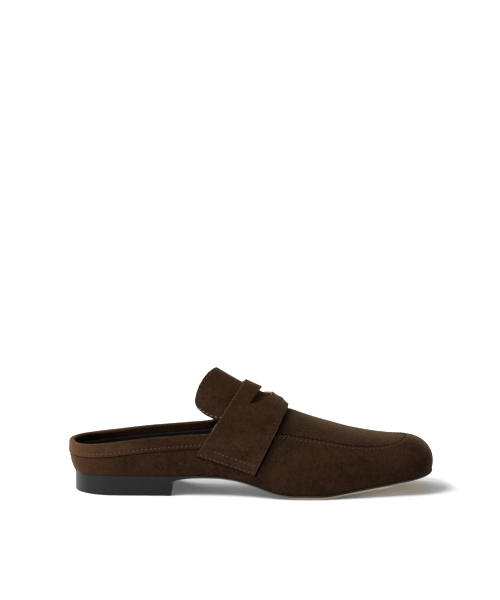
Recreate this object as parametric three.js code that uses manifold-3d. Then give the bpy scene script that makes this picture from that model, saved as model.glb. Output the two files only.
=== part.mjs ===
// A right-foot penny loafer mule in suede, in millimetres. The toe points along +X, the outer side of
// the foot faces -Y and +Z is up. The shoe stands on its heel and on the tread of its forefoot.
//
// Every upper piece is cut from one form, the last: a closed ring of arched sections that starts at
// the back of the heel, runs along the outer side to the toe and comes back along the inner side.
// A section is a curve from the edge of the sole up over the side wall to the ridge of the foot.
import * as THREE from "three";
import { mergeVertices } from "three/addons/utils/BufferGeometryUtils.js";
import Module from "manifold-3d";

const wasm = await Module();
wasm.setup();

// Overall sizes of the shoe.
const length = 262; // back of the collar to the front of the toe
const ballWidth = 88; // across the sole at the ball
const instepHeight = 92; // highest point of the last's ridge above the floor
const heelHeight = 11; // heel block alone
const toeSpring = 11.4; // floor to the underside of the toe tip

// Sizes of the pieces.
const fit = 0.3; // gap between pieces that touch
const soleSetBack = 5; // the sole starts this far in from the back of the collar
const soleSetFront = 1; // and ends this far behind the front of the toe
const soleThickness = 3; // at the heel
const soleEdge = 0.5; // the sole stands out from the wall's foot by this
const soleBevel = 0.6; // lower edge of sole and heel
const treadThickness = 1.3; // pale half sole under the forefoot
const heelLength = 69.5; // back of the heel block to its breast
const wall = 2; // suede, stiffener and lining together
const collarHeight = 37.2; // floor to the top of the collar at the back of the heel
const bandHeight = 9.6; // collar band on the outside
const bandFacing = 6; // collar band on the inside
const bandThickness = 1;
const apronHalfWidth = 34; // middle of the vamp to the apron seam on the outer side
const apronInnerWidth = 32.3; // and on the inner side
const apronShare = 0.83; // where the inner side is narrow, the seam keeps to this share of it
const apronReach = 79; // the apron narrows over this length
const apronSquareness = 2.4;
const toeWall = 18; // apron seam to the front of the toe
const seamLip = 0.5; // the side wall stands up by this along the apron seam
const seamSink = 0.7; // apron and collar band lie in a recess of this depth
const insoleThickness = 2.4;
const tongueThickness = 2.4;
const tongueLift = 2; // underside of the tongue above the last
const tongueSkew = 0.2; // its free end lies further forward towards the inner side, by this slope
const strapThickness = 1.6;
const strapLift = 1.3; // the strap's front edge stands off the vamp by this
const strapLiftReach = 9; // and comes down to it over this width

// Rounded ends of the sole's outline: how far each runs along the shoe, and how square it is.
const heelRound = { reach: 30, squareness: 2.15 };
const toeRound = { reach: 26, squareness: 2.6 };

// The ridge is a line only between these two stations. Past them the sections fan round its ends.
const ridgeBack = 35;
const ridgeFront = length - toeRound.reach;

// at: share of the length. lateral, medial: sole outline, shares of half the ball width.
// ridge: share of instepHeight. bulge: how hard the wall leans out over the sole, share of wallLean.
// rise: how high the wall stays upright, share of the section's height.
// spread: how far the top stays level from the ridge, share of the section's half width.
const wallLean = 10;
const sections = [
  { at: 0.0, lateral: 0.63, medial: 0.62, ridge: 0.9, bulge: 1.35, rise: 0.3, spread: 0.3 },
  { at: 0.05, lateral: 0.63, medial: 0.62, ridge: 0.93, bulge: 1.0, rise: 0.3, spread: 0.5 },
  { at: 0.115, lateral: 0.64, medial: 0.635, ridge: 0.96, bulge: 0.5, rise: 0.3, spread: 0.93 },
  { at: 0.23, lateral: 0.66, medial: 0.62, ridge: 1.0, bulge: 0.45, rise: 0.32, spread: 0.95 },
  { at: 0.345, lateral: 0.685, medial: 0.565, ridge: 0.965, bulge: 0.5, rise: 0.42, spread: 0.78 },
  { at: 0.42, lateral: 0.74, medial: 0.545, ridge: 0.866, bulge: 0.7, rise: 0.5, spread: 0.56 },
  { at: 0.47, lateral: 0.8, medial: 0.595, ridge: 0.8, bulge: 0.75, rise: 0.54, spread: 0.53 },
  { at: 0.535, lateral: 0.895, medial: 0.715, ridge: 0.717, bulge: 0.8, rise: 0.6, spread: 0.5 },
  { at: 0.602, lateral: 0.975, medial: 0.85, ridge: 0.63, bulge: 0.88, rise: 0.64, spread: 0.42 },
  { at: 0.66, lateral: 0.985, medial: 0.935, ridge: 0.563, bulge: 0.95, rise: 0.68, spread: 0.36 },
  { at: 0.72, lateral: 0.94, medial: 0.965, ridge: 0.51, bulge: 1.0, rise: 0.71, spread: 0.31 },
  { at: 0.785, lateral: 0.86, medial: 0.93, ridge: 0.461, bulge: 0.95, rise: 0.72, spread: 0.3 },
  { at: 0.85, lateral: 0.775, medial: 0.87, ridge: 0.42, bulge: 0.75, rise: 0.7, spread: 0.3 },
  { at: 0.9, lateral: 0.72, medial: 0.805, ridge: 0.394, bulge: 0.55, rise: 0.62, spread: 0.32 },
  { at: 0.95, lateral: 0.69, medial: 0.735, ridge: 0.394, bulge: 0.4, rise: 0.53, spread: 0.3 },
  { at: 1.0, lateral: 0.66, medial: 0.68, ridge: 0.394, bulge: 0.3, rise: 0.5, spread: 0.28 },
];

// The underside along the shoe. heel: share of heelHeight. toe: share of toeSpring.
// body: share of soleThickness. Between 0.616 and 0.696 the tread lies flat on the floor.
const underside = [
  { at: 0.0, heel: 1.0, toe: 0.0, body: 1.0 },
  { at: 0.285, heel: 1.0, toe: 0.0, body: 1.0 },
  { at: 0.345, heel: 1.12, toe: 0.0, body: 0.7 },
  { at: 0.405, heel: 1.15, toe: 0.0, body: 0.64 },
  { at: 0.455, heel: 1.04, toe: 0.0, body: 0.6 },
  { at: 0.51, heel: 0.72, toe: 0.0, body: 0.6 },
  { at: 0.565, heel: 0.3, toe: 0.0, body: 0.6 },
  { at: 0.616, heel: 0.0, toe: 0.0, body: 0.6 },
  { at: 0.696, heel: 0.0, toe: 0.0, body: 0.6 },
  { at: 0.76, heel: 0.0, toe: 0.17, body: 0.6 },
  { at: 0.82, heel: 0.0, toe: 0.37, body: 0.6 },
  { at: 0.885, heel: 0.0, toe: 0.58, body: 0.6 },
  { at: 0.94, heel: 0.0, toe: 0.78, body: 0.6 },
  { at: 1.0, heel: 0.0, toe: 1.03, body: 0.6 },
];

// The top of the collar. height: share of collarHeight. It climbs to the throat under the strap.
const topLine = [
  { at: 0.0, height: 1.0 },
  { at: 0.05, height: 1.01 },
  { at: 0.112, height: 1.032 },
  { at: 0.222, height: 1.108 },
  { at: 0.332, height: 1.177 },
  { at: 0.395, height: 1.22 },
  { at: 0.42, height: 1.37 },
  { at: 0.44, height: 1.56 },
  { at: 0.458, height: 1.78 },
  { at: 0.477, height: 2.05 },
  { at: 0.52, height: 2.7 },
];

// Strap, its penny window and the tongue as the side view shows them, drawn up past the ridge.
// at: share of the length. up: share of instepHeight.
const strapOutline = [
  { at: 0.35, up: 0.326 },
  { at: 0.509, up: 0.19 },
  { at: 0.63, up: 0.797 },
  { at: 0.6, up: 1.2 },
  { at: 0.571, up: 1.2 },
];
const strapWindow = [
  { at: 0.497, up: 0.71 },
  { at: 0.523, up: 0.72 },
  { at: 0.5435, up: 0.733 },
  { at: 0.557, up: 0.755 },
  { at: 0.59, up: 0.84 },
  { at: 0.59, up: 0.95 },
  { at: 0.567, up: 0.952 },
];
const tongueOutline = [
  { at: 0.42, up: 1.1 },
  { at: 0.402, up: 0.955 },
  { at: 0.38, up: 0.885 },
  { at: 0.37, up: 0.82 },
  { at: 0.367, up: 0.766 },
  { at: 0.371, up: 0.712 },
  { at: 0.384, up: 0.668 },
  { at: 0.403, up: 0.636 },
  { at: 0.431, up: 0.603 },
  { at: 0.62, up: 0.64 },
  { at: 0.62, up: 1.1 },
];
const tongueTaper = { from: 0.54, to: 0.572 }; // the tongue comes down onto the vamp
const tongueEdgeHeight = [
  { at: 0.3, up: 0.72 },
  { at: 0.42, up: 0.603 },
  { at: 0.573, up: 0.631 },
];
const throatCover = { from: 0.41, to: 0.545 }; // the seams change over here, hidden by the strap
const treadSpan = { from: 0.603, to: 0.989, skiveRear: 0.02, skiveFront: 0.1 };

// How finely the faceted surfaces are cut.
const stations = 44; // sections of the upper on each side
const wallRows = 6;
const topRows = 6;
const archRows = 16; // rows of strap and tongue on each side

// A smooth curve through the rows of a table that never overshoots, so equal rows stay level.
function column(rows, name, size) {
  const slope = rows.slice(1).map((row, i) => (row[name] - rows[i][name]) / (row.at - rows[i].at));
  const tangent = rows.map((row, i) => {
    if (i === 0 || i === rows.length - 1) return slope[Math.min(i, slope.length - 1)];
    const [before, after] = [slope[i - 1], slope[i]];
    return before * after <= 0 ? 0 : (2 * before * after) / (before + after);
  });
  return (x) => {
    const at = THREE.MathUtils.clamp(x / length, rows[0].at, rows[rows.length - 1].at);
    let i = 0;
    while (i < rows.length - 2 && at > rows[i + 1].at) i += 1;
    const span = rows[i + 1].at - rows[i].at;
    const s = (at - rows[i].at) / span;
    const value = rows[i][name] * (1 + 2 * s) * (1 - s) ** 2;
    const next = rows[i + 1][name] * s * s * (3 - 2 * s);
    const bend = tangent[i] * s * (1 - s) ** 2 + tangent[i + 1] * s * s * (s - 1);
    return size * (value + next + span * bend);
  };
}

const outerHalf = column(sections, "lateral", ballWidth / 2);
const innerHalf = column(sections, "medial", ballWidth / 2);
const ridgeHeight = column(sections, "ridge", instepHeight);
const bulge = column(sections, "bulge", wallLean);
const rise = column(sections, "rise", 1);
const spread = column(sections, "spread", 1);
const heelLift = column(underside, "heel", heelHeight);
const toeLift = column(underside, "toe", toeSpring);
const soleBody = column(underside, "body", soleThickness);
const collarTop = column(topLine, "height", collarHeight);
const tongueEdge = column(tongueEdgeHeight, "up", instepHeight);
const smooth = THREE.MathUtils.smoothstep;
const mix = THREE.MathUtils.lerp;
const along = (x, { from, to }) => smooth(x, from * length, to * length);

// The sole's outline and the levels of its layers.
const soleFront = length - soleSetFront;
const treadRear = treadSpan.from * length;
const treadTip = treadSpan.to * length;

function roundedEnd(distance, { reach, squareness }) {
  const near = 1 - THREE.MathUtils.clamp(distance / reach, 0, 1);
  return (1 - near ** squareness) ** (1 / squareness);
}

function halfWidth(side, x) {
  const full = side < 0 ? outerHalf(x) : innerHalf(x);
  return full * roundedEnd(x - soleSetBack, heelRound) * roundedEnd(soleFront - x, toeRound);
}

const treadLevel = (x) => heelLift(x) + toeLift(x);
const soleRaise = (x) => (treadThickness + fit) * smooth(x, treadRear - 12, treadRear + 2);
const soleBottom = (x) => treadLevel(x) + soleRaise(x);
const soleTop = (x) => soleBottom(x) + soleBody(x);
const wallFoot = (x) => soleTop(x) + fit;
const treadTop = (x) => soleBottom(x) - fit;
const treadBottom = (x) => {
  const rear = smooth(x, treadRear, treadRear + treadSpan.skiveRear * length);
  const front = smooth(treadTip - x, 0, treadSpan.skiveFront * length);
  return treadTop(x) - treadThickness * mix(0.4, 1, rear) * mix(0.4, 1, front);
};

// Station places, evenly spaced round the mean outline so that heel and toe are cut finely.
const outlineSamples = Array.from({ length: 1201 }, (_, i) => {
  const x = mix(soleSetBack, soleFront, (1 - Math.cos((Math.PI * i) / 1200)) / 2);
  return { x, y: (halfWidth(-1, x) + halfWidth(1, x)) / 2, travelled: 0 };
});
outlineSamples.slice(1).forEach((sample, i) => {
  const before = outlineSamples[i];
  sample.travelled = before.travelled + Math.hypot(sample.x - before.x, sample.y - before.y);
});

function stationX(share) {
  const last = outlineSamples.length - 1;
  const goal = THREE.MathUtils.clamp(share, 0, 1) * outlineSamples[last].travelled;
  let [low, high] = [0, last];
  while (high - low > 1) {
    const middle = (low + high) >> 1;
    if (outlineSamples[middle].travelled < goal) low = middle;
    else high = middle;
  }
  const [a, b] = [outlineSamples[low], outlineSamples[high]];
  return mix(a.x, b.x, (goal - a.travelled) / (b.travelled - a.travelled));
}

function shareAt(x) {
  let [low, high] = [0, 1];
  for (let i = 0; i < 40; i += 1) {
    const middle = (low + high) / 2;
    if (stationX(middle) < x) low = middle;
    else high = middle;
  }
  return low;
}

// around: 0 at the back of the heel, 1 at the toe, 2 at the heel again. The outer side comes first.
function stationOf(around) {
  const turn = THREE.MathUtils.euclideanModulo(around, 2);
  const side = turn <= 1 ? -1 : 1;
  return { side, x: stationX(side < 0 ? turn : 2 - turn) };
}

// The stations all pieces share, so that pieces which lie on each other are cut alike.
const ringShares = Array.from({ length: 2 * stations + 1 }, (_, i) => i / stations);

function sharesBetween(start, end) {
  const margin = 0.3 / stations;
  const whole = [...ringShares.map((share) => share - 2), ...ringShares.slice(1)];
  return [start, ...whole.filter((share) => share > start + margin && share < end - margin), end];
}

const ridgeX = (x) => THREE.MathUtils.clamp(x, ridgeBack, ridgeFront);
const nudge = 0.004; // step for slopes, in shares of the ring and of a section

function outlineAt(around, outward) {
  const point = (a) => {
    const { side, x } = stationOf(a);
    return new THREE.Vector2(x, side * halfWidth(side, x));
  };
  const direction = point(around + nudge).sub(point(around - nudge)).normalize();
  return point(around).add(new THREE.Vector2(direction.y, -direction.x).multiplyScalar(outward));
}

const cubic = (t, a, b, c, d) =>
  a * (1 - t) ** 3 + 3 * b * t * (1 - t) ** 2 + 3 * c * t * t * (1 - t) + d * t ** 3;

// A point of the last. t runs from the sole's edge, 0, over the wall to the ridge, 1.
function lastPoint(around, t) {
  const { side, x } = stationOf(around);
  const spine = ridgeX(x);
  if (t >= 1) return new THREE.Vector3(spine, 0, ridgeHeight(spine));
  const foot = new THREE.Vector2(x, side * halfWidth(side, x));
  const across = foot.distanceTo(new THREE.Vector2(spine, 0));
  const outward = new THREE.Vector2(x - spine, foot.y).divideScalar(across);
  const tall = ridgeHeight(spine) - wallFoot(x);
  const out = cubic(t, 0, bulge(x), -spread(x) * across, -across);
  const up = cubic(t, 0, rise(x) * tall, tall, tall);
  return new THREE.Vector3(foot.x + outward.x * out, foot.y + outward.y * out, wallFoot(x) + up);
}

// The last's outward normal: level at the wall's foot, in the middle plane on the ridge.
function lastNormal(around, t) {
  const low = Math.max(t - nudge, 0);
  const high = Math.min(t + nudge, 1);
  const forward = lastPoint(around + nudge, t).sub(lastPoint(around - nudge, t));
  const upward = lastPoint(around, high).sub(lastPoint(around, low));
  const normal = forward.cross(upward);
  const x = stationOf(around).x;
  if (t >= 1 && x !== ridgeX(x)) return new THREE.Vector3(0, 0, 1);
  if (t >= 1) normal.y = 0;
  normal.normalize();
  normal.z *= smooth(t, 0, 0.1);
  return normal.normalize();
}

const raised = (around, t, by) => lastPoint(around, t).addScaledVector(lastNormal(around, t), by);

// The share t at which a section first meets a condition on its points, or 1 if it never does.
function firstWhere(around, met) {
  if (!met(lastPoint(around, 1))) return 1;
  let [low, high] = [0, 1];
  for (let i = 0; i < 26; i += 1) {
    const middle = (low + high) / 2;
    if (met(lastPoint(around, middle))) high = middle;
    else low = middle;
  }
  return high;
}

// Where the upper ends: below the crown of the collar band, or at the ridge in front of the throat.
const topLineHeight = (x) => collarTop(x) - bandThickness - fit;
const topAt = (around) => firstWhere(around, (p) => p.z > topLineHeight(p.x));

function apronEdge(side, x) {
  if (side < 0) return apronHalfWidth;
  return (apronInnerWidth ** -16 + (apronShare * innerHalf(x)) ** -16) ** (-1 / 16);
}

// Where the wall steps: at the lower edge of the collar band, and in front at the apron seam.
function seamAt(around) {
  const front = along(stationOf(around).x, throatCover);
  const apronMiddle = length - toeWall - apronReach;
  const inApron = (p) => {
    const ahead = Math.max((p.x - apronMiddle) / apronReach, 0);
    const aside = Math.abs(p.y) / apronEdge(Math.sign(p.y), p.x);
    return ahead ** apronSquareness + aside ** apronSquareness < 1;
  };
  const band = front < 1 ? firstWhere(around, (p) => p.z > topLineHeight(p.x) - bandHeight) : 0;
  const apron = front > 0 ? firstWhere(around, inApron) : 0;
  return mix(band, apron, front);
}

// One closed geometry from triangles given as points. Corners at the same place become one.
function closedGeometry(triangles) {
  const places = triangles.flat().flatMap((p) => [p.x, p.y, p.z]);
  const loose = new THREE.BufferGeometry();
  loose.setAttribute("position", new THREE.Float32BufferAttribute(places, 3));
  const merged = mergeVertices(loose, 1e-3);
  const corners = merged.index.array;
  const kept = [];
  for (let i = 0; i < corners.length; i += 3) {
    const [a, b, c] = corners.slice(i, i + 3);
    if (a !== b && b !== c && c !== a) kept.push(a, b, c);
  }
  merged.setIndex(kept);
  return merged;
}

const quad = (a, b, c, d) => [
  [a, b, c],
  [a, c, d],
];

// The triangles between two rows of points.
const strip = (low, high) =>
  low.slice(1).flatMap((point, i) => quad(low[i], point, high[i + 1], high[i]));

// The skin of a sheet: rows of outer and inner points per section, with rims on all free edges.
// Rows that end on the ridge meet the rows of the other side there and have no rim.
function sheetTriangles(outer, inner, wraps) {
  const triangles = [];
  const last = outer[0].length - 1;
  outer.forEach((row, i) => {
    if (i === outer.length - 1 && !wraps) return;
    const j = (i + 1) % outer.length;
    triangles.push(...strip(outer[j], row), ...strip(inner[i], inner[j]));
    triangles.push(...quad(inner[i][0], inner[j][0], outer[j][0], row[0]));
    if (row[last].y === 0 && outer[j][last].y === 0) return;
    triangles.push(...quad(row[last], outer[j][last], inner[j][last], inner[i][last]));
  });
  if (!wraps) {
    const end = outer.length - 1;
    triangles.push(...strip(outer[0], inner[0]), ...strip(inner[end], outer[end]));
  }
  return triangles;
}

// Solids, for the pieces that are cut to shape.
function solidOf(geometry) {
  const mesh = new wasm.Mesh({
    numProp: 3,
    vertProperties: new Float32Array(geometry.attributes.position.array),
    triVerts: new Uint32Array(geometry.index.array),
  });
  return new wasm.Manifold(mesh);
}

function geometryOf(solid) {
  const { numProp, numVert, vertProperties, triVerts } = solid.getMesh();
  const places = new Float32Array(numVert * 3);
  for (let i = 0; i < numVert; i += 1) {
    places.set(vertProperties.subarray(i * numProp, i * numProp + 3), i * 3);
  }
  const geometry = new THREE.BufferGeometry();
  geometry.setAttribute("position", new THREE.BufferAttribute(places, 3));
  geometry.setIndex(new THREE.BufferAttribute(triVerts, 1));
  return geometry;
}

// A prism across the whole shoe from an outline in the side view. skew moves it forward towards +Y.
function sidePrism(outline, skew = 0) {
  const corners = outline.map(({ at, up }) => new THREE.Vector2(at * length, up * instepHeight));
  const across = 2 * ballWidth;
  const prism = new THREE.ExtrudeGeometry(new THREE.Shape(corners), { depth: across, bevelEnabled: false });
  prism.rotateX(Math.PI / 2);
  prism.translate(0, across / 2, 0);
  prism.applyMatrix4(new THREE.Matrix4().makeShear(0, 0, skew, 0, 0, 0));
  prism.deleteAttribute("normal");
  prism.deleteAttribute("uv");
  return solidOf(mergeVertices(prism, 1e-4));
}

// The upper: one hollow wall from the sole's edge to the collar, closed over the vamp and the toe.
function upperGeometry() {
  const outer = [];
  const inner = [];
  ringShares.slice(0, -1).forEach((around) => {
    const front = along(stationOf(around).x, throatCover);
    const top = topAt(around);
    const seam = Math.min(seamAt(around), top - 0.05);
    const step = 0.015;
    const outerRow = [];
    const innerRow = [];
    const addPoint = (t, by) => {
      outerRow.push(raised(around, t, by));
      innerRow.push(raised(around, t, -wall));
    };
    for (let k = 0; k <= wallRows; k += 1) {
      addPoint((seam * k) / wallRows, front * seamLip * smooth(k / wallRows, 0.6, 1));
    }
    for (let k = 0; k <= topRows; k += 1) addPoint(mix(seam + step, top, k / topRows), -seamSink);
    outer.push(outerRow);
    inner.push(innerRow);
  });
  return closedGeometry(sheetTriangles(outer, inner, true));
}

// The collar band: a folded strip that rides on the top edge from strap to strap round the heel.
function bandGeometry() {
  const outside = bandThickness + fit - seamSink;
  const inside = wall + fit;
  const reach = shareAt(0.425 * length);
  const loops = sharesBetween(-reach, reach).map((around) => {
    const top = topAt(around);
    const seam = seamAt(around) + 0.03;
    const edge = lastPoint(around, top);
    const upward = lastPoint(around, top).sub(lastPoint(around, top - nudge)).normalize();
    const perShare = lastPoint(around, top - 0.05).distanceTo(edge) / 0.05;
    const foot = top - bandFacing / perShare;
    const point = (t, by, up) => raised(around, t, by).addScaledVector(upward, up);
    return [
      point(seam, outside, 0),
      point(mix(seam, top, 0.35), outside, 0),
      point(mix(seam, top, 0.7), outside, 0),
      point(top, outside, 0),
      point(top, outside - 0.45 * bandThickness, fit + 0.7 * bandThickness),
      point(top, -wall / 2, fit + bandThickness),
      point(top, 0.45 * bandThickness - inside - bandThickness, fit + 0.7 * bandThickness),
      point(top, -inside - bandThickness, 0),
      point(mix(foot, top, 0.5), -inside - bandThickness, 0),
      point(foot, -inside - bandThickness, 0),
      point(foot, -inside, 0),
      point(mix(foot, top, 0.5), -inside, 0),
      point(top, -inside, 0),
      point(top, -inside, fit),
      point(top, outside - bandThickness, fit),
      point(top, outside - bandThickness, 0),
      point(mix(seam, top, 0.5), outside - bandThickness, 0),
      point(seam, outside - bandThickness, 0),
    ];
  });
  const ring = (loop) => [...loop, loop[0]];
  const triangles = loops.slice(1).flatMap((loop, i) => strip(ring(loop), ring(loops[i])));
  const outline = (loop) => {
    const outerLeg = [loop[0], loop[1], loop[2], loop[3], loop[15], loop[16], loop[17]];
    const innerLeg = [loop[7], loop[8], loop[9], loop[10], loop[11], loop[12]];
    const crown = [loop[3], loop[4], loop[5], loop[6], loop[7], loop[12], loop[13], loop[14], loop[15]];
    return [outerLeg, innerLeg, crown];
  };
  const cap = ([first, ...rest]) => rest.slice(1).map((point, i) => [first, rest[i], point]);
  return { triangles, caps: [outline(loops[0]).flatMap(cap), outline(loops.at(-1)).flatMap(cap)] };
}

// A flat piece that follows the sole's outline, whole or as far as a straight cut across the shoe.
function plateGeometry({ from, to, outward, bottom, top, bevel }) {
  const whole = from === undefined && to === undefined;
  const ends = from === undefined ? [-shareAt(to), shareAt(to)] : [shareAt(from), 2 - shareAt(from)];
  const turns = whole ? ringShares.slice(0, -1) : sharesBetween(...ends);
  const count = turns.length;
  const profiles = turns.map((around) => {
    const spine = new THREE.Vector2(ridgeX(stationOf(around).x), 0);
    const edge = outlineAt(around, outward);
    const foot = outlineAt(around, outward - bevel);
    const level = (p, height, above = 0) => new THREE.Vector3(p.x, p.y, height(p.x) + above);
    return [
      level(spine, top),
      level(spine.clone().lerp(edge, 0.5), top),
      level(edge, top),
      level(edge, bottom, bevel),
      level(foot, bottom),
      level(spine.clone().lerp(foot, 0.5), bottom),
      level(spine, bottom),
    ];
  });
  const triangles = profiles.slice(whole ? 0 : 1).flatMap((row, i) =>
    strip(profiles[whole ? (i + count - 1) % count : i], row));
  if (!whole) {
    const face = ([a, b, c, d, e, f, g]) => [...quad(a, b, f, g), ...quad(b, c, d, e), [b, e, f]];
    triangles.push(...face(profiles[0]).map(([a, b, c]) => [a, c, b]));
    triangles.push(...face(profiles[count - 1]));
  }
  return closedGeometry(triangles);
}

// A sheet over the ridge between two stations, held off the last by under(x, height).
function archGeometry({ from, to, foot, under, thickness }) {
  const outer = [];
  const inner = [];
  sharesBetween(shareAt(from * length), shareAt(to * length)).forEach((share) => {
    const rows = [[], []];
    const addPoint = (around, t) => {
      const place = lastPoint(around, t);
      const lift = under(place.x, place.z);
      rows[0].push(raised(around, t, lift + thickness));
      rows[1].push(raised(around, t, lift));
    };
    for (let k = 0; k < archRows; k += 1) addPoint(share, mix(foot, 1, k / archRows));
    for (let k = archRows; k >= 0; k -= 1) addPoint(2 - share, mix(foot, 1, k / archRows));
    outer.push(rows[0]);
    inner.push(rows[1]);
  });
  return closedGeometry(sheetTriangles(outer, inner, false));
}

// How far the tongue's underside and the strap's underside stand off the last.
const tongueUnder = (x) => mix(tongueLift, fit - seamSink, along(x, tongueTaper));

function strapUnder(x, height) {
  const [, foot, top] = strapOutline;
  const slope = ((top.at - foot.at) * length) / ((top.up - foot.up) * instepHeight);
  const behindFront = foot.at * length + slope * (height - foot.up * instepHeight) - x;
  const aside = 1 - 0.8 * smooth(height, 0.45 * instepHeight, 0.63 * instepHeight);
  const edgeLift = strapLift * aside * smooth(strapLiftReach - behindFront, 0, strapLiftReach);
  const side = 1.6 * fit + seamLip * along(x, throatCover) + edgeLift;
  const ahead = along(x, { from: 0.576, to: 0.6 });
  const over = mix(tongueUnder(x) + tongueThickness + 1.8 * fit, side, ahead);
  const onTongue = smooth(height, tongueEdge(x) - 13, tongueEdge(x) - 5);
  return mix(side, Math.max(side, over), onTongue);
}

const material = (name, color, roughness) =>
  Object.assign(new THREE.MeshStandardMaterial({ color, roughness, metalness: 0 }), { name });
const suede = material("suede", 0x3a2618, 0.95);
const facing = material("facing", 0x2a1d15, 0.9);
const soleBlack = material("sole_black", 0x1c1b19, 0.45);
const treadTan = material("tread_tan", 0xb89a74, 0.7);
const lining = material("lining", 0x1b1815, 0.7);

const shoe = new THREE.Group();
function add(name, geometry, finish) {
  const mesh = new THREE.Mesh(geometry, finish);
  mesh.name = name;
  shoe.add(mesh);
}

const band = bandGeometry();
const bandSolid = solidOf(closedGeometry([
  ...band.triangles,
  ...band.caps[0],
  ...band.caps[1].map(([a, b, c]) => [a, c, b]),
]));
const bandEnd = fit / length / 0.8;
const behindStrap = strapOutline.map(({ at, up }) => ({ at: at - bandEnd, up }));
const strapSheet = archGeometry({
  from: 0.32, to: 0.66, foot: 0.02, under: strapUnder, thickness: strapThickness,
});
const tongueSheet = archGeometry({
  from: 0.3, to: 0.573, foot: 0.3, under: tongueUnder, thickness: tongueThickness,
});

add("upper", upperGeometry(), suede);
add("collar_band", geometryOf(bandSolid.subtract(sidePrism(behindStrap))), facing);
add("tongue", geometryOf(solidOf(tongueSheet).intersect(sidePrism(tongueOutline, tongueSkew))), suede);
const strapBlank = solidOf(strapSheet).intersect(sidePrism(strapOutline));
add("saddle_strap", geometryOf(strapBlank.subtract(sidePrism(strapWindow))), suede);
add("insole", plateGeometry({
  outward: -wall - fit, bottom: wallFoot, top: (x) => wallFoot(x) + insoleThickness, bevel: 0.5,
}), lining);
add("outsole", plateGeometry({
  outward: soleEdge, bottom: soleBottom, top: soleTop, bevel: soleBevel,
}), soleBlack);
add("half_sole", plateGeometry({
  from: treadRear, outward: soleEdge, bottom: treadBottom, top: treadTop, bevel: 0.3,
}), treadTan);
add("heel", plateGeometry({
  to: soleSetBack + heelLength, outward: soleEdge, bottom: () => 0, top: () => heelHeight - fit, bevel: soleBevel,
}), soleBlack);

// The origin is on the floor under the middle of the shoe.
const bounds = new THREE.Box3().setFromObject(shoe);
const middle = bounds.getCenter(new THREE.Vector3());
shoe.children.forEach((mesh) => mesh.geometry.translate(-middle.x, -middle.y, -bounds.min.z));

export default shoe;
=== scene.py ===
# %% [markdown]
# # A suede loafer mule
# This lesson dresses the CAD model of a right-foot penny loafer mule. The CAD solids stay in the
# scene as a fixed frame, and each is replaced by a finer piece of the same form. The fine pieces
# get what the solids leave out: the hand-sewn seam round the apron, rows of stitches and their
# holes, soft creases, raw edges, and the nap of the brown suede.

# %% Load the fixed frame
import math

import bmesh
import bpy
import numpy as np
from mathutils import Matrix, Vector, noise


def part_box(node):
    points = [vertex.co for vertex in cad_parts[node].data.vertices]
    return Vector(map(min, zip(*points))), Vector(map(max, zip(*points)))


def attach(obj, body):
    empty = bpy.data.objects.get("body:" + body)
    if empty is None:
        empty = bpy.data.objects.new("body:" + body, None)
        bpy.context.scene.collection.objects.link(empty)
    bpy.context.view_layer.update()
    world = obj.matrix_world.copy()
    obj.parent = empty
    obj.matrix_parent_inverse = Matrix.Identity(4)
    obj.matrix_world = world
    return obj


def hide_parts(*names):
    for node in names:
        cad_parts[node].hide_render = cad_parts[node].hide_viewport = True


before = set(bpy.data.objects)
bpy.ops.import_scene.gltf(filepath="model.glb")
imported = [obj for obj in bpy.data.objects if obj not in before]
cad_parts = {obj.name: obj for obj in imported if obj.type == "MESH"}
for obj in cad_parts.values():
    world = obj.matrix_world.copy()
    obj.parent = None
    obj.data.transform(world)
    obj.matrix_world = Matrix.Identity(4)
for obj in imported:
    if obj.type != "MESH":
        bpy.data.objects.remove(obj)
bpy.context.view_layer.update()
print("nodes of the frame:", sorted(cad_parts))

# %% [markdown]
# ## The last
# A shoemaker pulls every piece of the upper over a last, a solid foot shape. The CAD model does
# the same, so the last comes first here too. It is a ring of arched sections that starts at the
# back of the heel, runs along the outer side to the toe and returns along the inner side. Short
# tables hold the shape of the sections, as shares of the length, width and height of the shoe.

# %% Sizes of the shoe
MM = 0.001
LENGTH = 262 * MM
BALL_WIDTH = 88 * MM
INSTEP_HEIGHT = 92 * MM
HEEL_HEIGHT = 11 * MM
TOE_SPRING = 11.4 * MM
FIT = 0.3 * MM
SOLE_SET_BACK = 5 * MM
SOLE_SET_FRONT = 1 * MM
SOLE_THICKNESS = 3 * MM
SOLE_EDGE = 0.5 * MM
TREAD_THICKNESS = 1.3 * MM
HEEL_LENGTH = 70.1 * MM
WALL = 2 * MM
WALL_LEAN = 10 * MM
HEEL_REACH, HEEL_SQUARENESS = 30 * MM, 2.15
TOE_REACH, TOE_SQUARENESS = 26 * MM, 2.6
RIDGE_BACK, RIDGE_FRONT = 35 * MM, LENGTH - TOE_REACH

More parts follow.
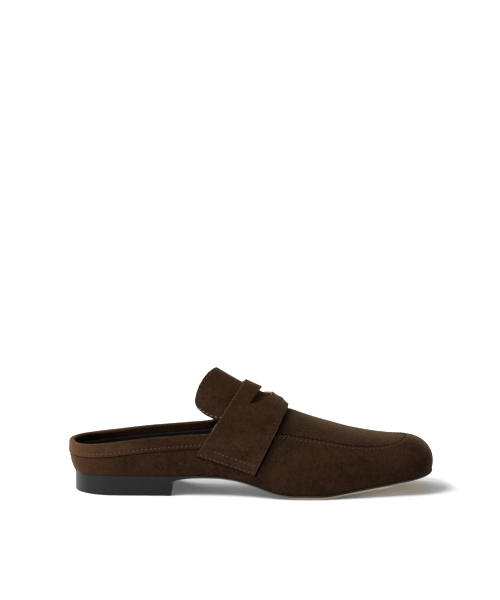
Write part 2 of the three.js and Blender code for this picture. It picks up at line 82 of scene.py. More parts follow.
# %% Tables of the last
SECTION_COLUMNS = ("at", "lateral", "medial", "ridge", "bulge", "rise", "spread")
SECTIONS = [
    (0.0, 0.63, 0.62, 0.9, 1.35, 0.3, 0.3),
    (0.05, 0.63, 0.62, 0.93, 1.0, 0.3, 0.5),
    (0.115, 0.64, 0.635, 0.96, 0.5, 0.3, 0.93),
    (0.23, 0.66, 0.62, 1.0, 0.45, 0.32, 0.95),
    (0.345, 0.685, 0.565, 0.965, 0.5, 0.42, 0.78),
    (0.42, 0.74, 0.545, 0.866, 0.7, 0.5, 0.56),
    (0.47, 0.8, 0.595, 0.8, 0.75, 0.54, 0.53),
    (0.535, 0.895, 0.715, 0.717, 0.8, 0.6, 0.5),
    (0.602, 0.975, 0.85, 0.63, 0.88, 0.64, 0.42),
    (0.66, 0.985, 0.935, 0.563, 0.95, 0.68, 0.36),
    (0.72, 0.94, 0.965, 0.51, 1.0, 0.71, 0.31),
    (0.785, 0.86, 0.93, 0.462, 0.95, 0.72, 0.3),
    (0.85, 0.775, 0.87, 0.428, 0.75, 0.7, 0.29),
    (0.9, 0.72, 0.805, 0.415, 0.55, 0.62, 0.28),
    (0.95, 0.69, 0.735, 0.421, 0.4, 0.55, 0.18),
    (1.0, 0.66, 0.68, 0.421, 0.35, 0.54, 0.12),
]
UNDERSIDE_COLUMNS = ("at", "heel", "toe", "body")
UNDERSIDE = [
    (0.0, 1.0, 0.0, 1.0),
    (0.285, 1.0, 0.0, 1.0),
    (0.345, 1.135, 0.0, 0.62),
    (0.405, 1.165, 0.0, 0.44),
    (0.455, 1.055, 0.0, 0.44),
    (0.51, 0.73, 0.0, 0.46),
    (0.565, 0.3, 0.0, 0.46),
    (0.616, 0.0, 0.0, 0.46),
    (0.696, 0.0, 0.02, 0.46),
    (0.76, 0.0, 0.21, 0.46),
    (0.82, 0.0, 0.42, 0.46),
    (0.885, 0.0, 0.63, 0.46),
    (0.94, 0.0, 0.83, 0.46),
    (1.0, 0.0, 1.05, 0.46),
]


# %% A smooth column of a table
def smooth(value, low, high):
    share = np.clip((value - low) / (high - low), 0, 1)
    return share * share * (3 - 2 * share)


def mix(a, b, share):
    return a + (b - a) * share


def column(names, rows, name, size=1.0):
    """A curve through one column of a table that never overshoots its rows."""
    at = np.array([row[0] for row in rows])
    value = np.array([row[names.index(name)] for row in rows])
    slope = np.diff(value) / np.diff(at)
    turn = slope[:-1] * slope[1:]
    both = np.where(turn > 0, slope[:-1] + slope[1:], 1.0)
    tangent = np.concatenate((slope[:1], np.where(turn > 0, 2 * turn / both, 0.0), slope[-1:]))

    def curve(x):
        share = np.clip(np.asarray(x) / LENGTH, at[0], at[-1])
        i = np.clip(np.searchsorted(at, share) - 1, 0, len(at) - 2)
        span = at[i + 1] - at[i]
        s = (share - at[i]) / span
        here = value[i] * (1 + 2 * s) * (1 - s) ** 2 + value[i + 1] * s * s * (3 - 2 * s)
        bend = tangent[i] * s * (1 - s) ** 2 + tangent[i + 1] * s * s * (s - 1)
        return size * (here + span * bend)

    return curve


outer_half = column(SECTION_COLUMNS, SECTIONS, "lateral", BALL_WIDTH / 2)
inner_half = column(SECTION_COLUMNS, SECTIONS, "medial", BALL_WIDTH / 2)
ridge_height = column(SECTION_COLUMNS, SECTIONS, "ridge", INSTEP_HEIGHT)
bulge = column(SECTION_COLUMNS, SECTIONS, "bulge", WALL_LEAN)
rise = column(SECTION_COLUMNS, SECTIONS, "rise")
spread = column(SECTION_COLUMNS, SECTIONS, "spread")
heel_lift = column(UNDERSIDE_COLUMNS, UNDERSIDE, "heel", HEEL_HEIGHT)
toe_lift = column(UNDERSIDE_COLUMNS, UNDERSIDE, "toe", TOE_SPRING)
sole_body = column(UNDERSIDE_COLUMNS, UNDERSIDE, "body", SOLE_THICKNESS)
print("width at the ball:", round((outer_half(0.66 * LENGTH) + inner_half(0.72 * LENGTH)) / MM, 1), "mm")

# %% The sole's outline and its levels
SOLE_FRONT = LENGTH - SOLE_SET_FRONT
TREAD_REAR = 0.603 * LENGTH
TREAD_TIP = 0.989 * LENGTH


def rounded_end(distance, reach, squareness):
    near = 1 - np.clip(distance / reach, 0, 1)
    return (1 - near**squareness) ** (1 / squareness)


def half_width(side, x):
    full = np.where(side < 0, outer_half(x), inner_half(x))
    rear = rounded_end(x - SOLE_SET_BACK, HEEL_REACH, HEEL_SQUARENESS)
    return full * rear * rounded_end(SOLE_FRONT - x, TOE_REACH, TOE_SQUARENESS)


def sole_bottom(x):
    raise_by = (TREAD_THICKNESS + FIT) * smooth(x, TREAD_REAR - 12 * MM, TREAD_REAR + 2 * MM)
    return heel_lift(x) + toe_lift(x) + raise_by


def sole_top(x):
    return sole_bottom(x) + sole_body(x)


def wall_foot(x):
    return sole_top(x) + FIT


def tread_top(x):
    return sole_bottom(x) - FIT


def tread_bottom(x):
    rear = smooth(x, TREAD_REAR, TREAD_REAR + 0.02 * LENGTH)
    front = smooth(TREAD_TIP - x, 0, 0.1 * LENGTH)
    return tread_top(x) - TREAD_THICKNESS * mix(0.4, 1, rear) * mix(0.4, 1, front)


# %% Stations round the outline
SAMPLE_X = mix(SOLE_SET_BACK, SOLE_FRONT, (1 - np.cos(np.linspace(0, np.pi, 1201))) / 2)
SAMPLE_Y = (half_width(-1, SAMPLE_X) + half_width(1, SAMPLE_X)) / 2
STEPS = np.hypot(np.diff(SAMPLE_X), np.diff(SAMPLE_Y))
TRAVELLED = np.concatenate(([0.0], np.cumsum(STEPS)))

sole_low, sole_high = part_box("outsole")
outer_max, inner_max = half_width(-1, SAMPLE_X).max(), half_width(1, SAMPLE_X).max()
ORIGIN = np.array([
    SOLE_SET_BACK - SOLE_EDGE - sole_low[0],
    (inner_max - outer_max - sole_low[1] - sole_high[1]) / 2,
    0.0,
])


def share_at(x):
    return np.interp(x, SAMPLE_X, TRAVELLED) / TRAVELLED[-1]


def station(around):
    """around: 0 at the heel, 1 at the toe, 2 at the heel again, the outer side first."""
    turn = np.mod(around, 2.0)
    side = np.where(turn <= 1, -1.0, 1.0)
    share = np.where(turn <= 1, turn, 2 - turn)
    return side, np.interp(share * TRAVELLED[-1], TRAVELLED, SAMPLE_X)


print("origin of the shoe, from its heel:", (ORIGIN / MM).round(2), "mm")

# %% Points and normals of the last
NUDGE = 0.003


def cubic(t, a, b, c, d):
    return a * (1 - t) ** 3 + 3 * b * t * (1 - t) ** 2 + 3 * c * t * t * (1 - t) + d * t**3


def last_point(around, t):
    """t runs from the sole's edge, 0, over the wall to the ridge of the foot, 1."""
    side, x = station(around)
    spine = np.clip(x, RIDGE_BACK, RIDGE_FRONT)
    foot = side * half_width(side, x)
    across = np.hypot(x - spine, foot)
    tall = ridge_height(spine) - wall_foot(x)
    out = cubic(t, 0, bulge(x), -spread(x) * across, -across)
    up = cubic(t, 0, rise(x) * tall, tall, tall)
    out_x, out_y = (x - spine) / across, foot / across
    return np.stack((x + out_x * out, foot + out_y * out, wall_foot(x) + up), axis=-1) - ORIGIN


def last_normal(around, t):
    around, t = np.broadcast_arrays(np.asarray(around, float), np.asarray(t, float))
    t = np.where(t > 1 - 1e-6, 1.0, t)
    forward = last_point(around + NUDGE, t) - last_point(around - NUDGE, t)
    low, high = np.maximum(t - NUDGE, 0), np.minimum(t + NUDGE, 1)
    normal = np.cross(forward, last_point(around, high) - last_point(around, low))
    x = station(around)[1]
    crest = t >= 1
    pole = crest & ((x < RIDGE_BACK) | (x > RIDGE_FRONT))
    normal[crest, 1] = 0
    normal /= np.maximum(np.linalg.norm(normal, axis=-1, keepdims=True), 1e-12)
    normal[..., 2] *= smooth(t, 0, 0.1)
    normal[pole] = (0, 0, 1)
    return normal / np.linalg.norm(normal, axis=-1, keepdims=True)


def raised(around, t, by):
    return last_point(around, t) + last_normal(around, t) * np.asarray(by)[..., None]


def first_where(around, met):
    """The share t at which each section first meets a condition, or 1 where it never does."""
    low, high = np.zeros_like(around), np.ones_like(around)
    for _ in range(24):
        middle = (low + high) / 2
        found = met(last_point(around, middle) + ORIGIN)
        low, high = np.where(found, low, middle), np.where(found, middle, high)
    return np.where(met(last_point(around, np.ones_like(around)) + ORIGIN), high, 1.0)


# %% [markdown]
# ## Sheets on the last
# Every leather piece starts as a flat grid, which bmesh makes, and is then draped: each corner of
# the grid moves to its place on the last. A grid has clean rows that can crowd where a seam needs
# them, and its edges are the piece's own edges, so nothing has to be cut afterwards.

# %% Grid helpers
def new_grid(columns, rows):
    """A bmesh grid with each vertex's place in it as two shares from 0 to 1."""
    bm = bmesh.new()
    bmesh.ops.create_grid(bm, x_segments=columns, y_segments=rows, size=0.5)
    bm.verts.index_update()
    flat = np.array([vert.co for vert in bm.verts])
    return bm, flat[:, 0] + 0.5, flat[:, 1] + 0.5


def drape(bm, places):
    for vert, place in zip(bm.verts, places):
        vert.co = place


def write_map(bm, name, values):
    """Keeps two lengths per vertex, in metres, as a UV map."""
    layer = bm.loops.layers.uv.new(name)
    for face in bm.faces:
        for loop in face.loops:
            loop[layer].uv = values[loop.vert.index]


def write_mask(bm, name, values):
    layer = bm.verts.layers.float.new(name)
    for vert, value in zip(bm.verts, values):
        vert[layer] = value


def weld(bm, distance=1e-6):
    bmesh.ops.remove_doubles(bm, verts=bm.verts, dist=distance)


def finish_piece(bm, name, replaced, materials):
    """Turns a bmesh into a piece of the shoe that rides on its body."""
    mesh = bpy.data.meshes.new(name)
    bm.to_mesh(mesh)
    bm.free()
    mesh.shade_smooth()
    piece = bpy.data.objects.new(name, mesh)
    bpy.context.collection.objects.link(piece)
    for material in materials:
        mesh.materials.append(material)
    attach(piece, "root")
    if replaced:
        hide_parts(replaced)
    print(f"{name}: {len(mesh.polygons)} faces")
    return piece


# %% [markdown]
# ## Node groups shared by the finishes
# Suede is leather whose flesh side was sanded until it stands up as a short nap. It has no shine,
# but its fibres lie in patches that a hand has brushed one way or another, so the colour drifts
# between darker and lighter areas a few millimetres to a few centimetres wide. One group makes
# that drift and the fine bumps of the nap. A second group marks a row of needle holes.

# %% Node helpers
def place_node(tree, kind, inputs=None, **settings):
    made = tree.nodes.new("ShaderNode" + kind)
    for name, value in settings.items():
        setattr(made, name, value)
    for key, value in (inputs or {}).items():
        if isinstance(value, bpy.types.NodeSocket):
            tree.links.new(value, made.inputs[key])
        else:
            made.inputs[key].default_value = value
    return made


def math_node(tree, operation, a, b=0.0):
    return place_node(tree, "Math", {0: a, 1: b}, operation=operation).outputs[0]


def to_range(tree, value, low, high, to_low=0.0, to_high=1.0):
    inputs = {"Value": value, "From Min": low, "From Max": high, "To Min": to_low, "To Max": to_high}
    return place_node(tree, "MapRange", inputs, interpolation_type="SMOOTHSTEP").outputs["Result"]


def start_group(name, inputs, outputs):
    group = bpy.data.node_groups.new(name, "ShaderNodeTree")
    for socket, value in inputs.items():
        made = group.interface.new_socket(socket, in_out="INPUT", socket_type="NodeSocketFloat")
        made.default_value = value
    for socket in outputs:
        group.interface.new_socket(socket, in_out="OUTPUT", socket_type="NodeSocketFloat")
    return group, group.nodes.new("NodeGroupInput"), group.nodes.new("NodeGroupOutput")


# %% The nap of suede
def make_nap_group():
    sizes = {"Patch Size": 0.02, "Cloud Size": 0.006, "Fibre Size": 0.0015, "Drift": 0.5}
    group, given, result = start_group("Suede nap", sizes, ("Tone", "Height"))
    place = place_node(group, "TexCoord").outputs["Object"]

    def texture(size, detail, rough, stretch=(1, 1, 1)):
        inputs = {"Vector": place, "Scale": stretch, "Rotation": (0.3, 0.5, 0.2)}
        turned = place_node(group, "Mapping", inputs)
        scale = math_node(group, "DIVIDE", 1.0, size)
        inputs = {"Vector": turned.outputs[0], "Scale": scale, "Detail": detail, "Roughness": rough}
        return place_node(group, "TexNoise", inputs).outputs["Fac"]

    patches = texture(given.outputs["Patch Size"], 2.0, 0.5, (0.7, 1, 1.3))
    clouds = texture(given.outputs["Cloud Size"], 3.0, 0.6)
    fibres = texture(given.outputs["Fibre Size"], 2.0, 0.7)
    drift = given.outputs["Drift"]
    broad = math_node(group, "SUBTRACT", to_range(group, patches, 0.34, 0.66), 0.5)
    middle = math_node(group, "SUBTRACT", to_range(group, clouds, 0.3, 0.7), 0.5)
    fine = math_node(group, "SUBTRACT", to_range(group, fibres, 0.25, 0.75), 0.5)
    tone = math_node(group, "ADD", math_node(group, "MULTIPLY", broad, drift), 0.5)
    tone = math_node(group, "ADD", tone, math_node(group, "MULTIPLY", middle, 0.2))
    tone = math_node(group, "ADD", tone, math_node(group, "MULTIPLY", fine, 0.75))
    group.links.new(tone, result.inputs["Tone"])
    height = math_node(group, "ADD", fine, math_node(group, "MULTIPLY", middle, 0.8))
    group.links.new(height, result.inputs["Height"])
    return group


nap_group = make_nap_group()


# %% A row of needle holes
def make_holes_group():
    sizes = {"Along": 0.0, "Across": 0.0, "Pitch": 0.002, "Row": 0.001, "Radius": 0.0003}
    group, given, result = start_group("Needle holes", sizes, ("Mask",))
    turns = math_node(group, "DIVIDE", given.outputs["Along"], given.outputs["Pitch"])
    within = math_node(group, "SUBTRACT", math_node(group, "FRACT", turns), 0.5)
    along = math_node(group, "MULTIPLY", within, given.outputs["Pitch"])
    across = math_node(group, "SUBTRACT", given.outputs["Across"], given.outputs["Row"])
    squares = math_node(group, "MULTIPLY", along, along)
    squares = math_node(group, "ADD", squares, math_node(group, "MULTIPLY", across, across))
    reach = math_node(group, "DIVIDE", math_node(group, "SQRT", squares), given.outputs["Radius"])
    group.links.new(to_range(group, reach, 0.6, 1.3, 1.0, 0.0), result.inputs["Mask"])
    return group


holes_group = make_holes_group()
print("groups:", nap_group.name, "and", holes_group.name)

# %% [markdown]
# ## The finishes
# The shader itself stays in each material. Suede is a rough surface with a little sheen, which is
# what short fibres do at a glancing angle. A raw edge, where the leather was cut, is a lighter
# brown than its face. The sole's edge is waxed and black, and the tread under the forefoot is pale.
# Painted light makes the nap lighter towards the heel, and painted shade makes it darker at the toe.
# Narrow, almost black painted shadows lie ahead of the strap's front edge and under its foot. They
# follow the strap's edges by distances on the last, which two maps on the upper keep. Masks on the
# pieces add painted highlights, a painted reflection on the sole's edge and painted shade in seams,
# under edges and along the tread's edge.

# %% Suede material
def start_material(name, **sockets):
    material = bpy.data.materials.new(name)
    material.use_nodes = True
    tree = material.node_tree
    shader = tree.nodes["Principled BSDF"]
    for socket, value in sockets.items():
        shader.inputs[socket.replace("_", " ")].default_value = value
    return material, tree, shader


def group_node(tree, group, inputs):
    node = tree.nodes.new("ShaderNodeGroup")
    node.node_tree = group
    for key, value in inputs.items():
        if isinstance(value, bpy.types.NodeSocket):
            tree.links.new(value, node.inputs[key])
        else:
            node.inputs[key].default_value = value
    return node


def colour_mix(tree, share, a, b):
    node = tree.nodes.new("ShaderNodeMix")
    node.data_type = "RGBA"
    for key, value in ((0, share), (6, a), (7, b)):
        if isinstance(value, bpy.types.NodeSocket):
            tree.links.new(value, node.inputs[key])
        else:
            node.inputs[key].default_value = value
    return node.outputs[2]


def bump(tree, shader, height, distance, strength=1.0):
    inputs = {"Height": height, "Distance": distance, "Strength": strength}
    normal = place_node(tree, "Bump", inputs).outputs["Normal"]
    tree.links.new(normal, shader.inputs["Normal"])


def scaled(colour, factor):
    return tuple(factor * part for part in colour[:3]) + (1,)


# Painted light towards the heel and painted shade at the toe: each is a range along the shoe and the tone
# it adds or takes away.
HEEL_PAINTED_LIGHT = (-0.135, -0.06, 0.5, 0.0)
TOE_PAINTED_SHADE = (0.09, 0.131, 0.0, 0.45)
# Painted shadows ahead of the strap's front edge and under its foot, and the side seam's line: middle, half
# width and fade of each, and their colours.
STRAP_LINE, STRAP_LINE_HALF, STRAP_LINE_EDGE = 1.27 * MM, 0.68 * MM, 1.64 * MM
FOOT_LINE, FOOT_LINE_HALF, FOOT_LINE_EDGE = 1.1 * MM, 0.3 * MM, 1.0 * MM
SEAM_LINE_HALF, SEAM_LINE_EDGE = 0.2 * MM, 0.7 * MM
STRAP_SHADOW_BLACK = (0.0009, 0.0006, 0.0004, 1)
FOOT_SHADOW_BROWN = (0.004, 0.002, 0.0012, 1)
SEAM_LINE_BROWN = (0.006, 0.003, 0.002, 1)


def paint_light_along_shoe(tree, tone):
    """The nap's tone with painted light towards the heel and painted shade at the toe."""
    place = place_node(tree, "TexCoord").outputs["Object"]
    along_shoe = place_node(tree, "SeparateXYZ", {0: place}).outputs[0]
    tone = math_node(tree, "ADD", tone, to_range(tree, along_shoe, *HEEL_PAINTED_LIGHT))
    return math_node(tree, "SUBTRACT", tone, to_range(tree, along_shoe, *TOE_PAINTED_SHADE))


def read_map(tree, name):
    """The two lengths that a map keeps for each point."""
    flat = place_node(tree, "UVMap", uv_map=name).outputs["UV"]
    return place_node(tree, "SeparateXYZ", {0: flat}).outputs[:2]


def line_mask(tree, distance, middle, half, edge, strength):
    """A soft line where a distance has this middle value."""
    aside = math_node(tree, "ABSOLUTE", math_node(tree, "SUBTRACT", distance, middle))
    return to_range(tree, aside, half, edge, strength, 0.0)


def paint_strap_shadows_and_seam_line(tree, colour):
    """Painted shadows ahead of the strap's front edge and under its foot, and the side seam's line.

    The lines lie at distances that are measured on the last, from the strap's own edges.
    """
    ahead, below = read_map(tree, "strap_front")
    inside_rear, from_side_seam = read_map(tree, "strap_rear")
    # Painted shadow ahead of the strap's front edge, where the raised strap's shade falls on the upper.
    line = line_mask(tree, ahead, STRAP_LINE, STRAP_LINE_HALF, STRAP_LINE_EDGE, 0.98)
    line = math_node(tree, "MULTIPLY", line, to_range(tree, below, 0.7 * MM, 3.6 * MM, 1.0, 0.0))
    colour = colour_mix(tree, line, colour, STRAP_SHADOW_BLACK)
    # Painted shadow under the strap's foot.
    line = line_mask(tree, below, FOOT_LINE, FOOT_LINE_HALF, FOOT_LINE_EDGE, 0.6)
    line = math_node(tree, "MULTIPLY", line, to_range(tree, inside_rear, -1 * MM, 1 * MM))
    line = math_node(tree, "MULTIPLY", line, to_range(tree, ahead, -1.4 * MM, 1.6 * MM, 1.0, 0.0))
    colour = colour_mix(tree, line, colour, FOOT_SHADOW_BROWN)
    # A darker line along the side seam.
    line = line_mask(tree, from_side_seam, 0.0, SEAM_LINE_HALF, SEAM_LINE_EDGE, 0.45)
    line = math_node(tree, "MULTIPLY", line, to_range(tree, below, 0.6 * MM, 1.6 * MM))
    return colour_mix(tree, line, colour, SEAM_LINE_BROWN)


def make_suede(name, dark, light, drift=0.5, holes=(), strap_shadows_and_seam_line=False):
    """holes: rows of needle holes as (map name, pitch, distance of the row, radius)."""
    material, tree, shader = start_material(
        name, Roughness=0.95, Specular_IOR_Level=0.04, Sheen_Weight=0.3, Sheen_Roughness=0.4,
        Sheen_Tint=(0.42, 0.25, 0.13, 1),
    )
    nap = group_node(tree, nap_group, {"Drift": drift})
    tone = paint_light_along_shoe(tree, nap.outputs["Tone"])
    colour = colour_mix(tree, tone, dark, light)
    # Painted light: a paler copy of the nap where the lightening mask is set.
    painted_light_and_wear = place_node(tree, "Attribute", attribute_name="painted_light_and_wear").outputs["Fac"]
    painted_light_colour = colour_mix(tree, tone, scaled(dark, 2.6), scaled(light, 1.9))
    colour = colour_mix(tree, painted_light_and_wear, colour, painted_light_colour)
    # Painted shade: darker where the shade mask is set.
    shade = place_node(tree, "Attribute", attribute_name="ditch").outputs["Fac"]
    colour = colour_mix(tree, shade, colour, scaled(dark, 0.35))
    if strap_shadows_and_seam_line:
        colour = paint_strap_shadows_and_seam_line(tree, colour)
    height = nap.outputs["Height"]
    for map_name, pitch, row, radius in holes:
        along_row, across_row = read_map(tree, map_name)
        inputs = {"Along": along_row, "Across": across_row, "Pitch": pitch, "Row": row, "Radius": radius}
        mask = group_node(tree, holes_group, inputs).outputs["Mask"]
        colour = colour_mix(tree, mask, colour, scaled(dark, 0.08))
        height = math_node(tree, "SUBTRACT", height, math_node(tree, "MULTIPLY", mask, 3.0))
    tree.links.new(colour, shader.inputs["Base Color"])
    bump(tree, shader, height, 0.00022, 0.7)
    return material


STITCH_PITCH = 3.3 * MM
BAND_PITCH = 3.15 * MM
APRON_PITCH = 3.1 * MM
DARK_BROWN = (0.0150, 0.0063, 0.0028, 1)
LIGHT_BROWN = (0.0400, 0.0187, 0.0095, 1)
UPPER_DARK, UPPER_LIGHT = (0.0130, 0.0056, 0.0026, 1), (0.0345, 0.0162, 0.0083, 1)
APRON_HOLES = ("apron", APRON_PITCH, 0.5 * MM, 0.9 * MM)
FRONT_EDGE_HOLES = ("front_edge", STITCH_PITCH, 1.9 * MM, 0.36 * MM)
suede_upper = make_suede("suede_upper", UPPER_DARK, UPPER_LIGHT, 0.34, [APRON_HOLES], strap_shadows_and_seam_line=True)
suede_band = make_suede("suede_band", DARK_BROWN, LIGHT_BROWN, 0.3)
suede_tongue = make_suede("suede_tongue", DARK_BROWN, LIGHT_BROWN, 0.3)
suede_strap = make_suede("suede_strap", DARK_BROWN, LIGHT_BROWN, 0.3, [FRONT_EDGE_HOLES])
print("suede finishes:", suede_upper.name, suede_band.name, suede_tongue.name, suede_strap.name)


# %% Raw edge, lining and thread
def make_plain(name, dark, light, size, bump_depth, **sockets):
    material, tree, shader = start_material(name, **sockets)
    place = place_node(tree, "TexCoord").outputs["Object"]
    inputs = {"Vector": place, "Scale": 1 / size, "Detail": 4.0, "Roughness": 0.6}
    grain = place_node(tree, "TexNoise", inputs)
    broad = place_node(tree, "TexNoise", {"Vector": place, "Scale": 0.07 / size, "Detail": 2.0})
    share = math_node(tree, "ADD", math_node(tree, "MULTIPLY", grain.outputs["Fac"], 0.5),
                      math_node(tree, "MULTIPLY", to_range(tree, broad.outputs["Fac"], 0.3, 0.7), 0.5))
    tree.links.new(colour_mix(tree, share, dark, light), shader.inputs["Base Color"])
    bump(tree, shader, grain.outputs["Fac"], bump_depth, 0.6)
    return material


raw_edge = make_plain(
    "suede_raw_edge", (0.032, 0.0175, 0.0105, 1), (0.068, 0.041, 0.026, 1), 0.7 * MM, 0.15 * MM,
    Roughness=0.95, Specular_IOR_Level=0.05,
)


def tint_where(material, mask, colour):
    """Mixes a second colour into a finish where a mask on the piece says so."""
    tree = material.node_tree
    shader = tree.nodes["Principled BSDF"]
    plain = shader.inputs["Base Color"].links[0].from_socket
    share = place_node(tree, "Attribute", attribute_name=mask).outputs["Fac"]
    tree.links.new(colour_mix(tree, share, plain, colour), shader.inputs["Base Color"])


# Painted highlight on the raw edge where the lightening mask is set, and painted shade where the shade mask
# is set.
tint_where(raw_edge, "painted_light_and_wear", (0.16, 0.11, 0.075, 1))
tint_where(raw_edge, "ditch", (0.004, 0.0025, 0.0015, 1))
lining_black = make_plain(
    "lining_black", (0.014, 0.0133, 0.012, 1), (0.032, 0.031, 0.028, 1), 0.9 * MM, 0.08 * MM,
    Roughness=0.6, Specular_IOR_Level=0.25,
)
thread_tan = make_plain(
    "thread_tan", (0.074, 0.043, 0.025, 1), (0.135, 0.088, 0.056, 1), 0.25 * MM, 0.05 * MM,
    Roughness=0.8, Specular_IOR_Level=0.15,
)
thread_dull = make_plain(
    "thread_dull", (0.055, 0.032, 0.019, 1), (0.1, 0.063, 0.039, 1), 0.25 * MM, 0.05 * MM,
    Roughness=0.85, Specular_IOR_Level=0.1,
)
thread_light = make_plain(
    "thread_light", (0.17, 0.115, 0.075, 1), (0.3, 0.22, 0.15, 1), 0.25 * MM, 0.05 * MM,
    Roughness=0.8, Specular_IOR_Level=0.15,
)
edge_black = make_plain(
    "sole_edge_black", (0.0038, 0.0038, 0.0033, 1), (0.0075, 0.0075, 0.0065, 1), 1.2 * MM, 0.03 * MM,
    Roughness=0.48, Specular_IOR_Level=0.24,
)
# A painted reflection: grey on the waxed edge where the lightening mask is set.
tint_where(edge_black, "painted_light_and_wear", (0.1, 0.094, 0.088, 1))
heel_black = make_plain(
    "heel_black", (0.0032, 0.0033, 0.0029, 1), (0.0066, 0.0067, 0.006, 1), 1.5 * MM, 0.03 * MM,
    Roughness=0.48, Specular_IOR_Level=0.24,
)
tread_pale = make_plain(
    "tread_pale", (0.36, 0.27, 0.16, 1), (0.54, 0.42, 0.26, 1), 1.0 * MM, 0.05 * MM, Roughness=0.75,
)
# Painted shadow on the tread where the shade mask is set.
tint_where(tread_pale, "ditch", (0.02, 0.014, 0.008, 1))


# %% Lining with a painted highlight below the facing
def make_lining_highlight():
    """The same black lining, with a pale painted highlight that runs just below the collar's facing."""
    material = lining_black.copy()
    material.name = "lining_with_painted_highlight"
    tree = material.node_tree
    shader = tree.nodes["Principled BSDF"]
    below = read_map(tree, "apron")[1]
    # Painted highlight: a pale grey line 5.9 mm below the top of the lining.
    line = line_mask(tree, below, 5.9 * MM, 0.25 * MM, 0.6 * MM, 1.0)
    black = shader.inputs["Base Color"].links[0].from_socket
    tree.links.new(colour_mix(tree, line, black, (0.12, 0.12, 0.115, 1)), shader.inputs["Base Color"])
    return material


lining_painted_highlight = make_lining_highlight()

# %% [markdown]
# ## The upper
# The upper is one wall of suede, stiffener and lining. In front, its side wall stands up as a lip
# round the apron, where the hand-sewn seam pulls the two together in a ditch. At the back, the
# wall steps in under the collar band. Both lines are found on the last first, because the rows of
# the grid follow them.

# %% The seam line of the upper
COLLAR_HEIGHT = 37.2 * MM
BAND_HEIGHT = 9.6 * MM
BAND_RISE = 1.2 * MM
BAND_FACING = 4.7 * MM
BAND_EDGE = 0.006
BAND_THICKNESS = 1 * MM
APRON_HALF_WIDTH, APRON_INNER_WIDTH, APRON_SHARE = 34 * MM, 32.3 * MM, 0.83
APRON_REACH, APRON_SQUARENESS, TOE_WALL = 77 * MM, 2.4, 20 * MM
SEAM_LIP, SEAM_SINK, APRON_SINK = 0.35 * MM, 0.7 * MM, 0.15 * MM
THROAT_COVER = (0.41, 0.545)
TOP_LINE = [
    (0.0, 0.966), (0.05, 0.975), (0.112, 1.015), (0.222, 1.108), (0.332, 1.177), (0.395, 1.22),
    (0.42, 1.37), (0.44, 1.56), (0.458, 1.78), (0.477, 2.05), (0.52, 2.7),
]
collar_top = column(("at", "height"), TOP_LINE, "height", COLLAR_HEIGHT)


def along(x, low, high):
    return smooth(x, low * LENGTH, high * LENGTH)


def wall_top(x):
    return collar_top(x) - BAND_THICKNESS - FIT


def top_at(around):
    """The outer side of the collar sits a little lower than the inner side."""
    lower = 0.6 * MM
    return first_where(
        around, lambda p: p[:, 2] > wall_top(p[:, 0]) - lower * smooth(-p[:, 1], 4 * MM, 18 * MM)
    )


def in_apron(p):
    inner = (APRON_INNER_WIDTH**-16 + (APRON_SHARE * inner_half(p[:, 0])) ** -16) ** (-1 / 16)
    edge = np.where(p[:, 1] < 0, APRON_HALF_WIDTH, inner)
    ahead = np.maximum((p[:, 0] - (LENGTH - TOE_WALL - APRON_REACH)) / APRON_REACH, 0)
    return ahead**APRON_SQUARENESS + (np.abs(p[:, 1]) / edge) ** APRON_SQUARENESS < 1


def band_foot(x):
    """Height of the collar band's lower edge, which rises a little at the back of the heel."""
    return wall_top(x) - BAND_HEIGHT + BAND_RISE * (1 - smooth(x, 0, 0.14 * LENGTH))


def seam_at(around):
    band = first_where(around, lambda p: p[:, 2] > band_foot(p[:, 0]))
    apron = first_where(around, in_apron)
    return mix(band, apron, along(station(around)[1], *THROAT_COVER))


# %% [markdown]
# ## Lines of tongue and strap
# The tongue and the strap lie over the upper, so their places come first: the upper shows where
# they press on it. Their edges are straight cuts when the shoe is seen from its side, and sheets of
# leather bend them in space. So each edge is a line of a side view, and a short search finds where
# a sheet laid over the last meets it. The inner side takes the same lines, mirrored.

# %% Lines of the side view
EYE = np.array([-0.5, 1410.7, 312.8]) * MM
STRAP_REAR = [(-39.1, 22.8), (-3.9, 78.3), (16.2, 110)]
STRAP_BOTTOM = [(-39.1, 22.8), (2.4, 8.3)]
STRAP_FRONT = [(2.4, 8.3), (26.9, 58.5), (27.3, 61), (27.5, 110)]


def from_side(place):
    """Where a side view from the eye's height shows a place, on the plane through the shoe's middle.

    The inner side is mirrored, so that one set of lines cuts both sides of a piece.
    """
    y = place[..., 1]
    nearness = np.where(y < 0, -y, mix(-y, y, smooth(y, 6 * MM, 18 * MM)))
    scale = EYE[1] / (EYE[1] - nearness)
    return EYE[0] + (place[..., 0] - EYE[0]) * scale, EYE[2] + (place[..., 2] - EYE[2]) * scale


def line_at(points, height):
    """Where a line of the side view is at this height, in metres."""
    at, up = np.array(sorted(points, key=lambda point: point[1])).T * MM
    return np.interp(height, up, at)


# %% Heights of tongue and strap over the last
TONGUE_THICKNESS, TONGUE_LIFT, TONGUE_SKEW = 2.4 * MM, 2 * MM, 0.45
TONGUE_TAPER, TONGUE_DIP = (0.54, 0.572), 0.5 * MM
STRAP_THICKNESS, STRAP_LIFT, STRAP_LIFT_REACH = 1.6 * MM, 2.0 * MM, 8 * MM
SLOT_REAR = [(-0.8, 60.9), (7.7, 72.8), (20, 90)]
SLOT_FRONT = [(-0.8, 60.9), (5.9, 61.8), (11.3, 64.5), (14.7, 67.8), (15.2, 69.4), (15.6, 90)]
TONGUE_END = [
    (-37.4, 48), (-38.3, 57.4), (-39.9, 60.6), (-40.2, 63.4), (-39.1, 68.5), (-37, 74.3), (-34.1, 79.3),
    (-30.5, 83.8), (-26.9, 86.6), (-24, 88), (-22, 95),
]
TONGUE_BOTTOM = [
    (-46, 63), (-38.3, 57.4), (-35.7, 54.8), (-32.7, 52.5), (-28.5, 50.3), (-24.1, 48.9), (0, 49.5),
    (30, 51.5),
]
